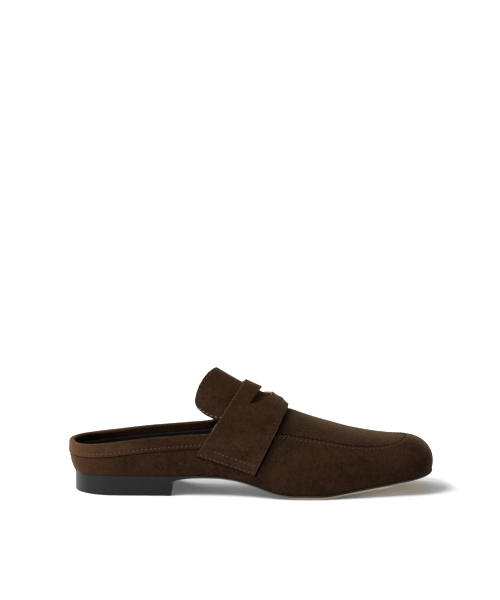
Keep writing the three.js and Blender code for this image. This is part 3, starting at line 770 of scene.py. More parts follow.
TONGUE_EDGE = [(0.3, 0.72), (0.42, 0.603), (0.573, 0.631)]
tongue_edge = column(("at", "up"), TONGUE_EDGE, "up", INSTEP_HEIGHT)


def tongue_under(x):
    lift = TONGUE_LIFT + 1.5 * MM - 2.6 * MM * along(x, 0.37, 0.5)
    return mix(lift, FIT - SEAM_SINK, along(x, *TONGUE_TAPER))


def strap_under(place):
    seen_x, seen_up = from_side(place)
    behind_front = line_at(STRAP_FRONT, seen_up) - seen_x
    x, height = place[:, 0] + ORIGIN[0], place[:, 2]
    aside = 1 - 0.8 * smooth(height, 0.45 * INSTEP_HEIGHT, 0.63 * INSTEP_HEIGHT)
    edge_lift = STRAP_LIFT * aside * smooth(STRAP_LIFT_REACH - behind_front, 0, STRAP_LIFT_REACH)
    beside = 1.6 * FIT + SEAM_LIP * along(x, *THROAT_COVER) + edge_lift
    over = mix(tongue_under(x) + TONGUE_THICKNESS + 4.8 * FIT, beside, along(x, 0.576, 0.6))
    on_tongue = smooth(height, tongue_edge(x) - 13 * MM, tongue_edge(x) - 5 * MM)
    return mix(beside, np.maximum(beside, over), on_tongue)


def on_ring(side, x):
    return np.where(side < 0, share_at(x), 2 - share_at(x))


def strap_point(side, x, t, by=0.0):
    under = strap_under(last_point(on_ring(side, x), t))
    return raised(on_ring(side, x), t, under + STRAP_THICKNESS + by)


def tongue_point(side, x, t, by=0.0):
    dip = TONGUE_DIP * along(x, 0.5, 0.53)
    return raised(on_ring(side, x), t, tongue_under(x) - dip + TONGUE_THICKNESS + by)


# %% Edges that a side view gives
ROW_SHARES = np.linspace(0.02, 1, 140)


def edge_of(point_of, side, line, skew=0.0):
    """The station at which a draped sheet meets a line of the side view, for each row t."""
    sides = np.full_like(ROW_SHARES, side)
    x = np.full_like(ROW_SHARES, 0.48 * LENGTH)
    for _ in range(60):
        place = point_of(sides, x, ROW_SHARES)
        seen_x, seen_up = from_side(place)
        goal = line_at(line, seen_up) + skew * np.maximum(place[:, 1], 0)
        x = np.clip(x + 0.5 * (goal - seen_x), 0.2 * LENGTH, 0.8 * LENGTH)
    return x


def foot_of(point_of, side, bottom, stations_x):
    """The row t at which a draped sheet meets its bottom line, for each station."""
    at, up = np.array(bottom).T * MM
    sides = np.full_like(stations_x, side)
    low, high = np.zeros_like(stations_x), np.ones_like(stations_x)
    for _ in range(24):
        middle = (low + high) / 2
        seen_x, seen_up = from_side(point_of(sides, stations_x, middle))
        over = seen_up > np.interp(seen_x, at, up)
        low, high = np.where(over, low, middle), np.where(over, middle, high)
    return high


STATION_X = np.linspace(0.3, 0.7, 160) * LENGTH


def sheet_edges(point_of, lines, bottom, skew=0.0):
    """Tables of a sheet's edges on both sides: the lines by row, and the foot by station."""
    tables = {}
    for side in (-1.0, 1.0):
        edges = [edge_of(point_of, side, line, skew) for line in lines]
        tables[side] = (edges, foot_of(point_of, side, bottom, STATION_X))
    return tables


def from_tables(edges, side, pick, at, shares):
    outer, inner = (np.interp(at, shares, pick(edges[key])) for key in (-1.0, 1.0))
    return np.where(side < 0, outer, inner)


strap_edges = sheet_edges(strap_point, [STRAP_REAR, SLOT_REAR, SLOT_FRONT, STRAP_FRONT], STRAP_BOTTOM)
rear_foot = strap_edges[-1.0][0][0][0]
print("rear edge of the strap, lowest on the outer side:", round((rear_foot - ORIGIN[0]) / MM, 1), "mm")

# %% [markdown]
# ## The upper's skin
# The creases are listed one by one: each is a soft trough with low shoulders, as leather folds where a
# foot bends it. A first grid makes the outside, with its rows crowded at the seam, a second makes
# the lining, and bridge_loops closes the rims between them.

# %% Creases listed one by one
# Each row: side, share of the length, share of the height, angle, then length, width and depth in mm.
CREASES = [
    (-1, 0.33, 0.27, 80, 17, 4.5, 0.35),
    (-1, 0.29, 0.24, 97, 15, 5.0, 0.25),
    (-1, 0.20, 0.25, 88, 14, 6.0, 0.22),
    (-1, 0.60, 0.24, 62, 16, 5.0, 0.32),
    (-1, 0.66, 0.30, 28, 20, 4.5, 0.28),
    (-1, 0.77, 0.24, 12, 24, 5.0, 0.25),
    (-1, 0.87, 0.23, 70, 14, 5.0, 0.25),
    (1, 0.33, 0.27, 85, 17, 4.5, 0.35),
    (1, 0.26, 0.25, 95, 15, 5.0, 0.25),
    (1, 0.62, 0.24, 60, 18, 5.0, 0.32),
    (1, 0.71, 0.27, 25, 22, 4.5, 0.28),
    (1, 0.83, 0.23, 12, 20, 5.0, 0.22),
]


def crease_depth(places):
    """How far the listed creases lower the surface at these places."""
    x = (places[:, 0] + ORIGIN[0]) / LENGTH
    total = np.zeros(len(places))
    for side, at, up, angle, length, width, depth in CREASES:
        ahead = (x - at) * LENGTH
        above = places[:, 2] - up * INSTEP_HEIGHT
        turn = math.radians(angle)
        run = (ahead * math.cos(turn) + above * math.sin(turn)) / (length * MM / 2)
        aside = (above * math.cos(turn) - ahead * math.sin(turn)) / (width * MM / 2)
        trough = np.exp(-(aside**2)) - 0.4 * np.exp(-((aside / 2.2) ** 2))
        here = np.sign(places[:, 1] + ORIGIN[1]) == side
        total += np.where(here, depth * MM * trough * np.exp(-(run**2)), 0)
    return total


# %% The outer skin and the lining
COLUMNS = 600
WALL_ROWS, SEAM_ROWS, TOP_ROWS = 36, 16, 40
SEAM_REACH = 2.2 * MM
SIDE_SEAM_X, SIDE_SEAM_LINE_X = 106 * MM, 107.5 * MM


def strap_edge_at(number, side, height):
    """How far forward an edge of the strap is at this height, on the same side of the shoe."""
    found = []
    for edge_side in (-1.0, 1.0):
        sides = np.full_like(ROW_SHARES, edge_side)
        edge = strap_point(sides, strap_edges[edge_side][0][number], ROW_SHARES)
        found.append(np.interp(height, np.maximum.accumulate(edge[:, 2]), edge[:, 0]))
    return np.where(side < 0, *found)


def soft_noise(places, size, depth):
    return depth * np.array([noise.noise(Vector(place) / size) for place in places])


def upper_rows(around, row):
    """Place and offset of the outer skin for each row, and its distance from the seam."""
    top = top_at(around)
    seam = np.minimum(seam_at(around), top - 0.05)
    step = 0.01
    gap = last_point(around, seam + step) - last_point(around, seam - step)
    per_t = np.linalg.norm(gap, axis=1) / (2 * step)
    reach = np.minimum(SEAM_REACH / per_t, 0.8 * (top - seam))
    low, high = WALL_ROWS, WALL_ROWS + SEAM_ROWS
    wall = (seam - reach) * np.clip(row / low, 0, 1)
    middle = 2 * reach * np.clip((row - low) / SEAM_ROWS, 0, 1)
    above = (top - seam - reach) * np.clip((row - high) / TOP_ROWS, 0, 1)
    t = wall + middle + above
    distance = (t - seam) * per_t
    front = along(station(around)[1], *THROAT_COVER)
    lip = SEAM_LIP * smooth(t / seam, 0.6, 1)
    fall = smooth(distance, -0.75 * MM, 0.0)
    ditch = 0.4 * MM * np.exp(-((distance - 0.3 * MM) / (0.5 * MM)) ** 2)
    apron = mix(lip, -APRON_SINK, fall) - ditch
    band = -SEAM_SINK * smooth(distance, -0.2 * MM, 0.2 * MM)
    return t, mix(band, apron, front), distance, front


bm, u, v = new_grid(COLUMNS, WALL_ROWS + SEAM_ROWS + TOP_ROWS)
rows = v * (WALL_ROWS + SEAM_ROWS + TOP_ROWS)
t, offset, from_seam, in_front = upper_rows(2 * u, rows)
side, station_x = station(2 * u)
surface = last_point(2 * u, t)
fade = smooth(t, 0, 0.08) * smooth(np.abs(from_seam), 0.5 * MM, 3 * MM)
offset = offset - crease_depth(surface) * fade
offset = offset + soft_noise(surface, 0.02, 0.22 * MM) * smooth(t, 0, 0.15)
side_seam = np.exp(-((station_x - SIDE_SEAM_X) / (0.7 * MM)) ** 2) * (1 - in_front)
offset = offset - 0.35 * MM * side_seam
seen_x, seen_up = from_side(surface)
ahead_of_strap = seen_x - line_at(STRAP_FRONT, seen_up)
pressed = np.exp(-(((ahead_of_strap - 0.6 * MM) / (1.4 * MM)) ** 2)) * smooth(seen_up, 6 * MM, 9 * MM)
offset = offset - 0.5 * MM * pressed
drape(bm, raised(2 * u, t, offset))

seam_line = last_point(np.linspace(0, 2, 2001), seam_at(np.linspace(0, 2, 2001)))
seam_length = np.concatenate(([0.0], np.cumsum(np.linalg.norm(np.diff(seam_line, axis=0), axis=1))))
along_seam = np.interp(2 * u, np.linspace(0, 2, 2001), seam_length)
hidden = np.where(in_front > 0.9, from_seam, 1.0)
write_map(bm, "apron", np.stack((along_seam, hidden), axis=1))
# These maps place the painted shadows ahead of the strap's front edge and under its foot, and the side
# seam's line.
near_crest = np.maximum(surface[:, 2] - 42 * MM, 0) / (21.5 * MM)
ahead = surface[:, 0] - strap_edge_at(3, side, surface[:, 2]) - 1.45 * MM * near_crest**2
inside_rear = surface[:, 0] - strap_edge_at(0, side, surface[:, 2])
strap_foot_t = from_tables(strap_edges, side, lambda e: e[1], station_x, STATION_X)
below_strap = last_point(2 * u, strap_foot_t)[:, 2] - surface[:, 2]
write_map(bm, "strap_front", np.stack((ahead, below_strap), axis=1))
write_map(bm, "strap_rear", np.stack((inside_rear, station_x - SIDE_SEAM_LINE_X), axis=1))
# Painted shade in the apron seam's ditch and along the side seam's groove.
seam_shade = 0.2 * in_front * np.exp(-((from_seam - 0.3 * MM) / (0.4 * MM)) ** 2)
write_mask(bm, "ditch", seam_shade + 0.3 * side_seam)
# Painted light on the wall towards the back of the heel, and a painted highlight along the lip of the apron
# seam.
at_back = 1 - smooth(station_x, 0, 0.24 * LENGTH)
lip_painted_highlight = 0.3 * in_front * np.exp(-((from_seam + 0.75 * MM) / (0.5 * MM)) ** 2)
write_mask(bm, "painted_light_and_wear", lip_painted_highlight + 0.4 * at_back)
weld(bm)
outer_open = [edge for edge in bm.edges if edge.is_boundary]

# %% Join the lining to the skin
LINING_ROWS = 24
skin = bpy.data.meshes.new("skin")
bm.to_mesh(skin)
bm.free()

bm, u, v = new_grid(COLUMNS, LINING_ROWS)
top = top_at(2 * u)
drape(bm, raised(2 * u, v * top, np.full_like(u, -WALL - 0.05 * MM)))
rise_per_t = np.linalg.norm(last_point(2 * u, top) - last_point(2 * u, top - 0.05), axis=1) / 0.05
write_map(bm, "apron", np.stack((2 * u, (1 - v) * top * rise_per_t), axis=1))
write_map(bm, "strap_front", np.ones((len(u), 2)))
write_map(bm, "strap_rear", np.ones((len(u), 2)))
write_mask(bm, "ditch", np.zeros(len(u)))
write_mask(bm, "painted_light_and_wear", np.zeros(len(u)))
bmesh.ops.reverse_faces(bm, faces=bm.faces)
weld(bm)
for face in bm.faces:
    face.material_index = 1
bm.from_mesh(skin)
bpy.data.meshes.remove(skin)
open_edges = [edge for edge in bm.edges if edge.is_boundary]
low_edges = [edge for edge in open_edges if max(vert.co.z for vert in edge.verts) < 0.022]
high_edges = [edge for edge in open_edges if min(vert.co.z for vert in edge.verts) > 0.026]
bmesh.ops.bridge_loops(bm, edges=low_edges)
bmesh.ops.bridge_loops(bm, edges=high_edges)
print("open edges before and after bridging:", len(open_edges), len([e for e in bm.edges if e.is_boundary]))
upper = finish_piece(bm, "upper_skin", "upper", [suede_upper, lining_painted_highlight])

# %% [markdown]
# ## The collar band
# A strip of suede is folded over the top edge of the wall and stitched down, outside a little
# higher than inside. It is one grid again: its columns run round the collar and its rows go round
# the folded strip, up the outside, over the edge in a soft curve and down the inside.

# %% Collar band
BAND_COLUMNS = 460
BAND_REACH = share_at(0.425 * LENGTH)
STRAP_FOOT, STRAP_SLOPE = (0.35, 0.326), (0.571 - 0.35) * LENGTH / ((1.2 - 0.326) * INSTEP_HEIGHT)


def band_profile():
    """Rows of the folded strip: share of the outer leg, of the inner leg, offset and rise."""
    outside = BAND_THICKNESS + FIT - SEAM_SINK
    inside = -WALL - FIT
    rows = [(0.0, 0.0, outside - 0.85 * BAND_THICKNESS, 0.0)]
    rows += [(0.0, 0.0, outside - 0.35 * BAND_THICKNESS, -0.1 * MM)]
    leg_shares = (0.02, 0.06, 0.12, 0.18, 0.21, 0.24, 0.3, 0.4, 0.5, 0.6, 0.7, 0.8, 0.9)
    rows += [(share, 0.0, outside, 0.0) for share in leg_shares]
    middle, half = (outside + inside - BAND_THICKNESS) / 2, (outside - inside + BAND_THICKNESS) / 2
    for turn in np.linspace(0, np.pi, 15):
        level = (FIT + BAND_THICKNESS) * math.sin(turn) ** 0.8
        swing = math.copysign(abs(math.cos(turn)) ** 0.8, math.cos(turn))
        rows.append((1.0, 0.0, middle + half * swing, level))
    rows += [(1.0, share, inside - BAND_THICKNESS, 0.0) for share in (0.15, 0.3, 0.5, 0.7, 0.85, 0.95)]
    rows += [(1.0, 1.0, inside - 0.6 * BAND_THICKNESS, -0.1 * MM), (1.0, 1.0, inside, 0.0)]
    rows += [(1.0, share, inside, 0.0) for share in (0.5, 0.0)]
    rows += [(1.0, 0.0, outside - BAND_THICKNESS, FIT)]
    rows += [(share, 0.0, outside - BAND_THICKNESS, 0.0) for share in (1.0, 0.5)]
    return np.array(rows)


profile = band_profile()
bm, u, v = new_grid(BAND_COLUMNS, len(profile))
row = np.rint(v * len(profile)).astype(int) % len(profile)
leg, facing, by, up = profile[row].T
around = mix(-BAND_REACH, BAND_REACH, u)
top = top_at(around)
seam = seam_at(around) + BAND_EDGE
edge_step = last_point(around, top) - last_point(around, top - 0.05)
per_t = np.linalg.norm(edge_step, axis=1) / 0.05
upward = last_point(around, top) - last_point(around, top - 0.004)
upward /= np.linalg.norm(upward, axis=1, keepdims=True)
t = mix(mix(seam, top, leg), top - BAND_FACING / per_t, facing)
on_leg = last_point(around, t)
soft = soft_noise(on_leg, 0.016, 0.16 * MM)
groove = 0.16 * MM * np.exp(-(((t - seam) * per_t - 2.0 * MM) / (0.6 * MM)) ** 2) * (facing == 0) * (by > 0)
drape(bm, raised(around, t, by + soft - groove) + upward * up[:, None])
at_back = 1 - smooth(on_leg[:, 0] + ORIGIN[0], 0, 0.26 * LENGTH)
# The lightening mask: a painted highlight along the top of the fold, a paler facing and outside, and
# painted light on the outside towards the back of the heel.
painted_light_and_wear = 0.12 * np.exp(-((up - 1.2 * MM) / (0.5 * MM)) ** 2) * (up > 0) + 0.25 * (facing > 0)
write_mask(bm, "painted_light_and_wear", painted_light_and_wear + (facing == 0) * (0.08 + 0.75 * at_back))
# Painted shade under the band's lower edge, at the foot of its facing, and on the facing towards the back
# of the heel.
on_facing = (facing > 0) * (facing < 1)
write_mask(bm, "ditch", 0.5 * (leg == 0) + 0.5 * (facing == 1) + 0.9 * at_back * on_facing)
weld(bm)
corner = Vector((STRAP_FOOT[0] * LENGTH + 2.6 * MM - ORIGIN[0], 0, STRAP_FOOT[1] * INSTEP_HEIGHT))
bmesh.ops.bisect_plane(
    bm, geom=[*bm.verts, *bm.edges, *bm.faces], plane_co=corner,
    plane_no=Vector((1, 0, -STRAP_SLOPE)), clear_outer=True,
)
bmesh.ops.holes_fill(bm, edges=[edge for edge in bm.edges if edge.is_boundary])
band = finish_piece(bm, "collar_fold", "collar_band", [suede_band])

# %% [markdown]
# ## Tongue and saddle strap
# Both are sheets that lie across the instep: the tongue rises free behind the strap, and the strap
# runs over it from side to side, with the penny slot cut through its middle. Each is a grid that
# spans its own outline. Its columns start on the rear edge and end on the front edge, so the edges
# come out clean. Solidify gives the leather its thickness and Bevel softens the cut edges.

# %% Saddle strap
STRAP_COLUMNS, STRAP_ROWS, SLOT_COLUMN = 60, 200, 18
SLOT_TIP_AT, SLOT_TIP_UP = SLOT_REAR[0][0] * MM, SLOT_REAR[0][1] * MM
tip_rear, tip_front = line_at(STRAP_REAR, SLOT_TIP_UP), line_at(STRAP_FRONT, SLOT_TIP_UP)
SLOT_SHARE = (SLOT_TIP_AT - tip_rear) / (tip_front - tip_rear)


def strap_place(across, share):
    """Side, station, row and edges of the strap at a place across the foot, -1 to 1, and along it."""
    side = np.where(across < 0, -1.0, 1.0)
    foot = np.full_like(across, 0.1)
    for _ in range(24):
        t = mix(1.0, foot, np.abs(across) ** 1.1)
        rear, slot_rear, slot_front, front = (
            from_tables(strap_edges, side, lambda e, i=i: e[0][i], t, ROW_SHARES) for i in range(4)
        )
        gap = np.maximum(slot_front - slot_rear, 0)
        slot_rear = np.where(gap > 0, slot_rear, mix(rear, front, SLOT_SHARE))
        first, last = SLOT_COLUMN / STRAP_COLUMNS, (SLOT_COLUMN + 1) / STRAP_COLUMNS
        behind = mix(rear, slot_rear, share / first)
        ahead = mix(slot_rear + gap, front, (share - last) / (1 - last))
        x = np.where(share < (first + last) / 2, behind, ahead)
        foot = mix(foot, from_tables(strap_edges, side, lambda e: e[1], x, STATION_X), 0.6)
    return side, x, t, rear, front, gap


bm, share, v = new_grid(STRAP_COLUMNS, STRAP_ROWS)
across = 2 * v - 1
side, x, t, rear, front, gap = strap_place(across, share)
surface = strap_point(side, x, t)
soft = soft_noise(surface, 0.018, 0.18 * MM)
foot_t = from_tables(strap_edges, side, lambda e: e[1], x, STATION_X)
foot_point = strap_point(side, x, foot_t)
from_bottom = np.linalg.norm(surface - foot_point, axis=1)
from_front = (front - x) * 0.86
from_rear = (x - rear) * 0.86
sewn_front = np.exp(-((from_front - 1.7 * MM) / (0.8 * MM)) ** 2)
sewn_bottom = np.exp(-((from_bottom - 1.3 * MM) / (0.7 * MM)) ** 2)
press = 0.15 * MM * (sewn_front + sewn_bottom)
drape(bm, strap_point(side, x, t, soft - press))
from_crest = np.linalg.norm(surface - strap_point(side, x, np.ones_like(t)), axis=1)
length_across = np.where(side < 0, -1, 1) * from_crest
write_map(bm, "front_edge", np.stack((length_across, from_front), axis=1))
column_number = np.rint(share * STRAP_COLUMNS)
past_slot = column_number - SLOT_COLUMN - 1
# Painted highlights along the slot's front edge, the strap's rear edge and its front column, and painted
# shade at the slot's rear edge.
slot_edge_highlight = (gap > 0.15 * MM) * np.where(past_slot == 0, 1.0, 0.45 * (past_slot == 1))
rear_edge_highlight = 0.85 * np.exp(-((from_rear - 0.2 * MM) / (0.6 * MM)) ** 2)
write_mask(bm, "painted_light_and_wear", rear_edge_highlight + slot_edge_highlight + 0.5 * (column_number == STRAP_COLUMNS))
write_mask(bm, "ditch", 0.5 * (column_number == SLOT_COLUMN) * (gap > 0.2 * MM))


def in_slot(face):
    column_middle = np.mean([share[vert.index] for vert in face.verts]) * STRAP_COLUMNS
    is_open = max(gap[vert.index] for vert in face.verts) > 0
    return abs(column_middle - SLOT_COLUMN - 0.5) < 0.1 and is_open


slot_faces = [face for face in bm.faces if in_slot(face)]
print("faces cut out for the slot:", len(slot_faces))
bmesh.ops.delete(bm, geom=slot_faces, context="FACES")
weld(bm, 2e-5)


def thicken(piece, thickness, edge_round, rim_material):
    solid = piece.modifiers.new("thickness", "SOLIDIFY")
    solid.thickness = thickness
    solid.offset = -1
    solid.material_offset_rim = rim_material
    rounded = piece.modifiers.new("edges", "BEVEL")
    rounded.width = edge_round
    rounded.segments = 2
    rounded.limit_method = "ANGLE"
    rounded.angle_limit = math.radians(50)


strap = finish_piece(bm, "saddle_strap_leather", "saddle_strap", [suede_strap, raw_edge])
thicken(strap, STRAP_THICKNESS, 0.3 * MM, 1)

# %% Tongue
TONGUE_COLUMNS, TONGUE_ROWS = 56, 110
TONGUE_FRONT = 0.572
tongue_edges = sheet_edges(tongue_point, [TONGUE_END], TONGUE_BOTTOM, TONGUE_SKEW)


def tongue_place(across, share):
    side = np.where(across < 0, -1.0, 1.0)
    foot = np.full_like(across, 0.4)
    for _ in range(12):
        t = mix(1.0, foot, np.abs(across) ** 1.1)
        end = from_tables(tongue_edges, side, lambda e: e[0][0], t, ROW_SHARES)
        x = mix(end, TONGUE_FRONT * LENGTH, share)
        foot = from_tables(tongue_edges, side, lambda e: e[1], x, STATION_X)
    return side, x, t, end, foot


bm, share, v = new_grid(TONGUE_COLUMNS, TONGUE_ROWS)
side, x, t, end, foot_t = tongue_place(2 * v - 1, share)
surface = tongue_point(side, x, t)
from_foot = np.linalg.norm(surface - tongue_point(side, x, foot_t), axis=1)
from_end = (x - end) * 0.95
inset = np.minimum(from_foot, from_end)
press = 0.25 * MM * np.exp(-((inset - 2.0 * MM) / (0.8 * MM)) ** 2)
press = press + 0.3 * MM * smooth(1.2 * MM - inset, 0, 1.2 * MM)
soft = soft_noise(surface, 0.02, 0.25 * MM)
drape(bm, tongue_point(side, x, t, soft - press))
# A painted highlight on the roll near the tongue's edge, and painted shade on the edge itself.
write_mask(bm, "painted_light_and_wear", 0.2 * np.exp(-((inset - 0.9 * MM) / (0.5 * MM)) ** 2))
write_mask(bm, "ditch", 0.35 * smooth(0.6 * MM - inset, 0, 0.6 * MM))
weld(bm, 2e-5)
tongue = finish_piece(bm, "tongue_flap", "tongue", [suede_tongue, raw_edge])
thicken(tongue, TONGUE_THICKNESS, 0.7 * MM, 1)

# %% [markdown]
# ## Sole, tread, heel and insole
# The sole is a thin leather plate with a waxed black edge. A pale half sole covers the forefoot,
# and a block under the heel carries the rear. Each follows the same outline: the grid's columns
# run round the shoe and its rows go round the plate's own edge, which is rounded top and bottom.

# %% Plates that follow the sole's outline
def outline_at(around, outward):
    def point(at):
        side, x = station(at)
        return np.stack((x, side * half_width(side, x)), axis=-1)

    direction = point(around + NUDGE) - point(around - NUDGE)
    direction /= np.linalg.norm(direction, axis=-1, keepdims=True)
    outside = np.stack((direction[..., 1], -direction[..., 0]), axis=-1)
    return point(around) + outside * np.asarray(outward)[..., None]


PLATE_ROWS = 26


def plate(around, v, outward, bottom, top, low_round, high_round):
    """Places of a plate whose rows go from the middle of its top over the edge to its bottom."""
    row = v * PLATE_ROWS
    turn_high = np.clip((row - 7) / 5, 0, 1) * math.pi / 2
    turn_low = np.clip((row - 14) / 5, 0, 1) * math.pi / 2
    pull = np.where(row <= 13, high_round * (1 - np.sin(turn_high)), low_round * (1 - np.cos(turn_low)))
    share = np.where(row <= 7, row / 7, np.where(row >= 19, (PLATE_ROWS - row) / 7, 1.0))
    edge = outline_at(around, outward - pull)
    spine = np.clip(station(around)[1], RIDGE_BACK, RIDGE_FRONT)
    x = mix(spine, edge[:, 0], share)
    y = mix(0.0, edge[:, 1], share)
    drop = high_round * (1 - np.cos(turn_high))
    climb = low_round * (1 - np.sin(turn_low))
    z = np.where(row <= 13, top(x) - drop, bottom(x) + climb)
    return np.stack((x, y, z), axis=1) - ORIGIN


def close_ends(bm):
    weld(bm, 2e-6)
    bmesh.ops.holes_fill(bm, edges=[edge for edge in bm.edges if edge.is_boundary])
    bmesh.ops.recalc_face_normals(bm, faces=bm.faces)


# %% Outsole
def edge_outward(around):
    """The edge of sole and heel, which tucks in under the back of the heel."""
    return mix(-0.6 * MM, SOLE_EDGE, smooth(station(around)[1], 6 * MM, 45 * MM))


bm, u, v = new_grid(420, PLATE_ROWS)
edge_x = station(2 * u)[1]
round_below = mix(0.02 * MM, 0.6 * MM, smooth(edge_x, 72 * MM, 86 * MM))
drape(bm, plate(2 * u, v, edge_outward(2 * u), sole_bottom, sole_top, round_below, 0.35 * MM))
row = v * PLATE_ROWS
# A painted reflection along the lower half of the sole's edge at the waist.
at_waist = smooth(edge_x, 84 * MM, 100 * MM) * (1 - smooth(edge_x, 0.64 * LENGTH, 0.7 * LENGTH))
write_mask(bm, "painted_light_and_wear", 0.9 * at_waist * smooth(row, 12.5, 14.5) * (row < 20))
close_ends(bm)
outsole = finish_piece(bm, "sole_leather", "outsole", [edge_black])

# %% Half sole
tread_start = share_at(TREAD_REAR)
bm, u, v = new_grid(300, PLATE_ROWS)
around = mix(tread_start, 2 - tread_start, u)
tucked = SOLE_EDGE - 4.5 * MM * smooth(station(around)[1], 0.86 * LENGTH, 0.93 * LENGTH)
drape(bm, plate(around, v, tucked, tread_bottom, tread_top, 0.3 * MM, 0.1 * MM))
# Painted shadow on the lower half of the tread's edge, where it nears the ground.
near_ground = 1 - smooth(station(around)[1], 0.74 * LENGTH, 0.86 * LENGTH)
write_mask(bm, "ditch", near_ground * smooth(v * PLATE_ROWS, 13, 15))
close_ends(bm)
half_sole = finish_piece(bm, "forefoot_tread", "half_sole", [tread_pale])

# %% Heel block
heel_end = share_at(SOLE_SET_BACK + HEEL_LENGTH)
HEEL_TOP = HEEL_HEIGHT + 0.15 * MM
bm, u, v = new_grid(240, PLATE_ROWS)
around = mix(-heel_end, heel_end, u)
places = plate(
    around, v, edge_outward(around), lambda x: 0 * x, lambda x: 0 * x + HEEL_TOP, 0.6 * MM, 0.02 * MM,
)
drape(bm, places)
close_ends(bm)
heel = finish_piece(bm, "heel_block", "heel", [heel_black])

# %% [markdown]
# The front of the heel does not meet the sole in a sharp corner. A small hollow flare runs forward
# from it under the waist, so the block seems to grow out of the sole. It is a grid too: the columns
# run across the shoe, and the rows follow the hollow forward and come back along the sole.

# %% Flare of the heel
FLARE_LENGTH, FLARE_DROP, FLARE_ROWS = 8 * MM, 1.7 * MM, 24
bm, u, v = new_grid(40, FLARE_ROWS)
row = v * FLARE_ROWS
forward = np.where(row <= FLARE_ROWS / 2, row, FLARE_ROWS - row) / (FLARE_ROWS / 2)
x = SOLE_SET_BACK + HEEL_LENGTH - 0.5 * MM + FLARE_LENGTH * forward
side = np.where(u < 0.5, -1.0, 1.0)
half = half_width(side, x) + SOLE_EDGE - 0.4 * MM * forward
roof = sole_bottom(x) + 0.15 * MM
hollow = (row <= FLARE_ROWS / 2) | (row > FLARE_ROWS - 0.5)
z = np.where(hollow, roof - 0.05 * MM - FLARE_DROP * (1 - forward) ** 2.2, roof)
drape(bm, np.stack((x, np.abs(2 * u - 1) * side * half, z), axis=1) - ORIGIN)
close_ends(bm)
flare = finish_piece(bm, "heel_flare", None, [heel_black])

# %% Insole
INSOLE_THICKNESS = 2.4 * MM


def insole_top(x):
    return wall_foot(x) + INSOLE_THICKNESS


bm, u, v = new_grid(300, PLATE_ROWS)
drape(bm, plate(2 * u, v, -WALL - FIT, wall_foot, insole_top, 0.3 * MM, 0.9 * MM))
close_ends(bm)
insole = finish_piece(bm, "insole_sock", "insole", [lining_black])

# %% [markdown]
# ## Stitches
# Each visible stitch is a short bar of thread that dives into the leather at both ends. A small
# closed ball with few faces, stretched along the seam and half sunk in the leather, is enough. The
# rows are set out in the flat of each piece, a fixed distance inside its edge, and every stitch
# leans a little, as a lockstitch does.

# %% Sew a row
STITCH_LENGTH, STITCH_WIDTH, STITCH_HEIGHT = 1.8 * MM, 0.55 * MM, 0.45 * MM


def even_steps(places, pitch, start=0.5):
    """Shares along a row of places at which stitches sit, one pitch apart."""
    travelled = np.concatenate(([0.0], np.cumsum(np.linalg.norm(np.diff(places, axis=0), axis=1))))
    stops = np.arange(start * pitch, travelled[-1], pitch)
    return np.interp(stops, travelled, np.arange(len(places)))


def sew(bm, surface_of, row, pitch, lean=12, size=1.0, start=0.5):
    """Adds stitches along a row, one pitch apart. surface_of gives the places of row entries."""
    steps = even_steps(surface_of(row), pitch, start)
    count = np.arange(len(row))
    rear, fore = (
        np.stack([np.interp(steps + half, count, part) for part in row.T], axis=1) for half in (-0.5, 0.5)
    )
    before, after, lifted = surface_of(rear), surface_of(fore), surface_of(rear, 0.5 * MM)
    for number in range(len(steps)):
        direction = Vector(after[number] - before[number]).normalized()
        normal = Vector(lifted[number] - before[number])
        normal = (normal - direction * normal.dot(direction)).normalized()
        wobble = 4 * math.sin(number * 2.399)
        direction = Matrix.Rotation(math.radians(lean + wobble), 3, normal) @ direction
        aside = normal.cross(direction)
        sides = (size * STITCH_LENGTH * direction, size * STITCH_WIDTH * aside, STITCH_HEIGHT * normal)
        matrix = (Matrix(sides).transposed() * 0.5).to_4x4()
        matrix.translation = Vector(before[number] + after[number]) / 2 + normal * 0.06 * MM
        matrix = matrix @ Matrix.Rotation(math.pi / 2, 4, "Y")
        bmesh.ops.create_uvsphere(bm, u_segments=6, v_segments=5, radius=1.0, matrix=matrix)


# %% Stitches of the collar band
def band_surface(row, by=0.0):
    """row: around, distance above the band's lower edge."""
    around, above = row[:, 0], row[:, 1]
    top = top_at(around)
    seam = seam_at(around) + BAND_EDGE
    gap = last_point(around, top) - last_point(around, top - 0.05)
    t = seam + above / (np.linalg.norm(gap, axis=1) / 0.05)
    return raised(around, t, BAND_THICKNESS + FIT - SEAM_SINK + by)


bm = bmesh.new()
band_end = share_at(0.365 * LENGTH)
turns = np.linspace(-band_end, band_end, 400)
sew(bm, band_surface, np.stack((turns, np.full(400, 2.1 * MM)), axis=1), BAND_PITCH, lean=14)
band_stitches = finish_piece(bm, "collar_stitches", None, [thread_tan])


# %% Stitches of the strap
def strap_surface(row, by=0.0):
    """row: place across the foot and along the strap, as shares, and distance inside the edge."""
    side, x, t, _, _, _ = strap_place(row[:, 0], row[:, 1])
    return strap_point(side, x, t, by)


def strap_row(side, inside, start, stop, count=120):
    """Shares of a row that keeps its distance from the bottom edge of the strap."""
    share = np.linspace(start, stop, count)
    across = np.full(count, 0.98 * side)
    for _ in range(8):
        here = strap_surface(np.stack((across, share), axis=1))
        edge = strap_surface(np.stack((np.full(count, side), share), axis=1))
        more = strap_surface(np.stack((across - side * 0.01, share), axis=1))
        missing = inside - np.linalg.norm(here - edge, axis=1)
        across = across - side * 0.01 * missing / np.linalg.norm(more - here, axis=1)
    return np.stack((across, share), axis=1)


bm = bmesh.new()
for side_sign in (-1.0, 1.0):
    sew(bm, strap_surface, strap_row(side_sign, 1.1 * MM, 0.04, 0.97), STITCH_PITCH, lean=10 * side_sign)
    sew(bm, strap_surface, strap_row(side_sign, 6.6 * MM, 0.2, 0.97), STITCH_PITCH, lean=10 * side_sign)
strap_stitches = finish_piece(bm, "strap_stitches", None, [thread_tan])

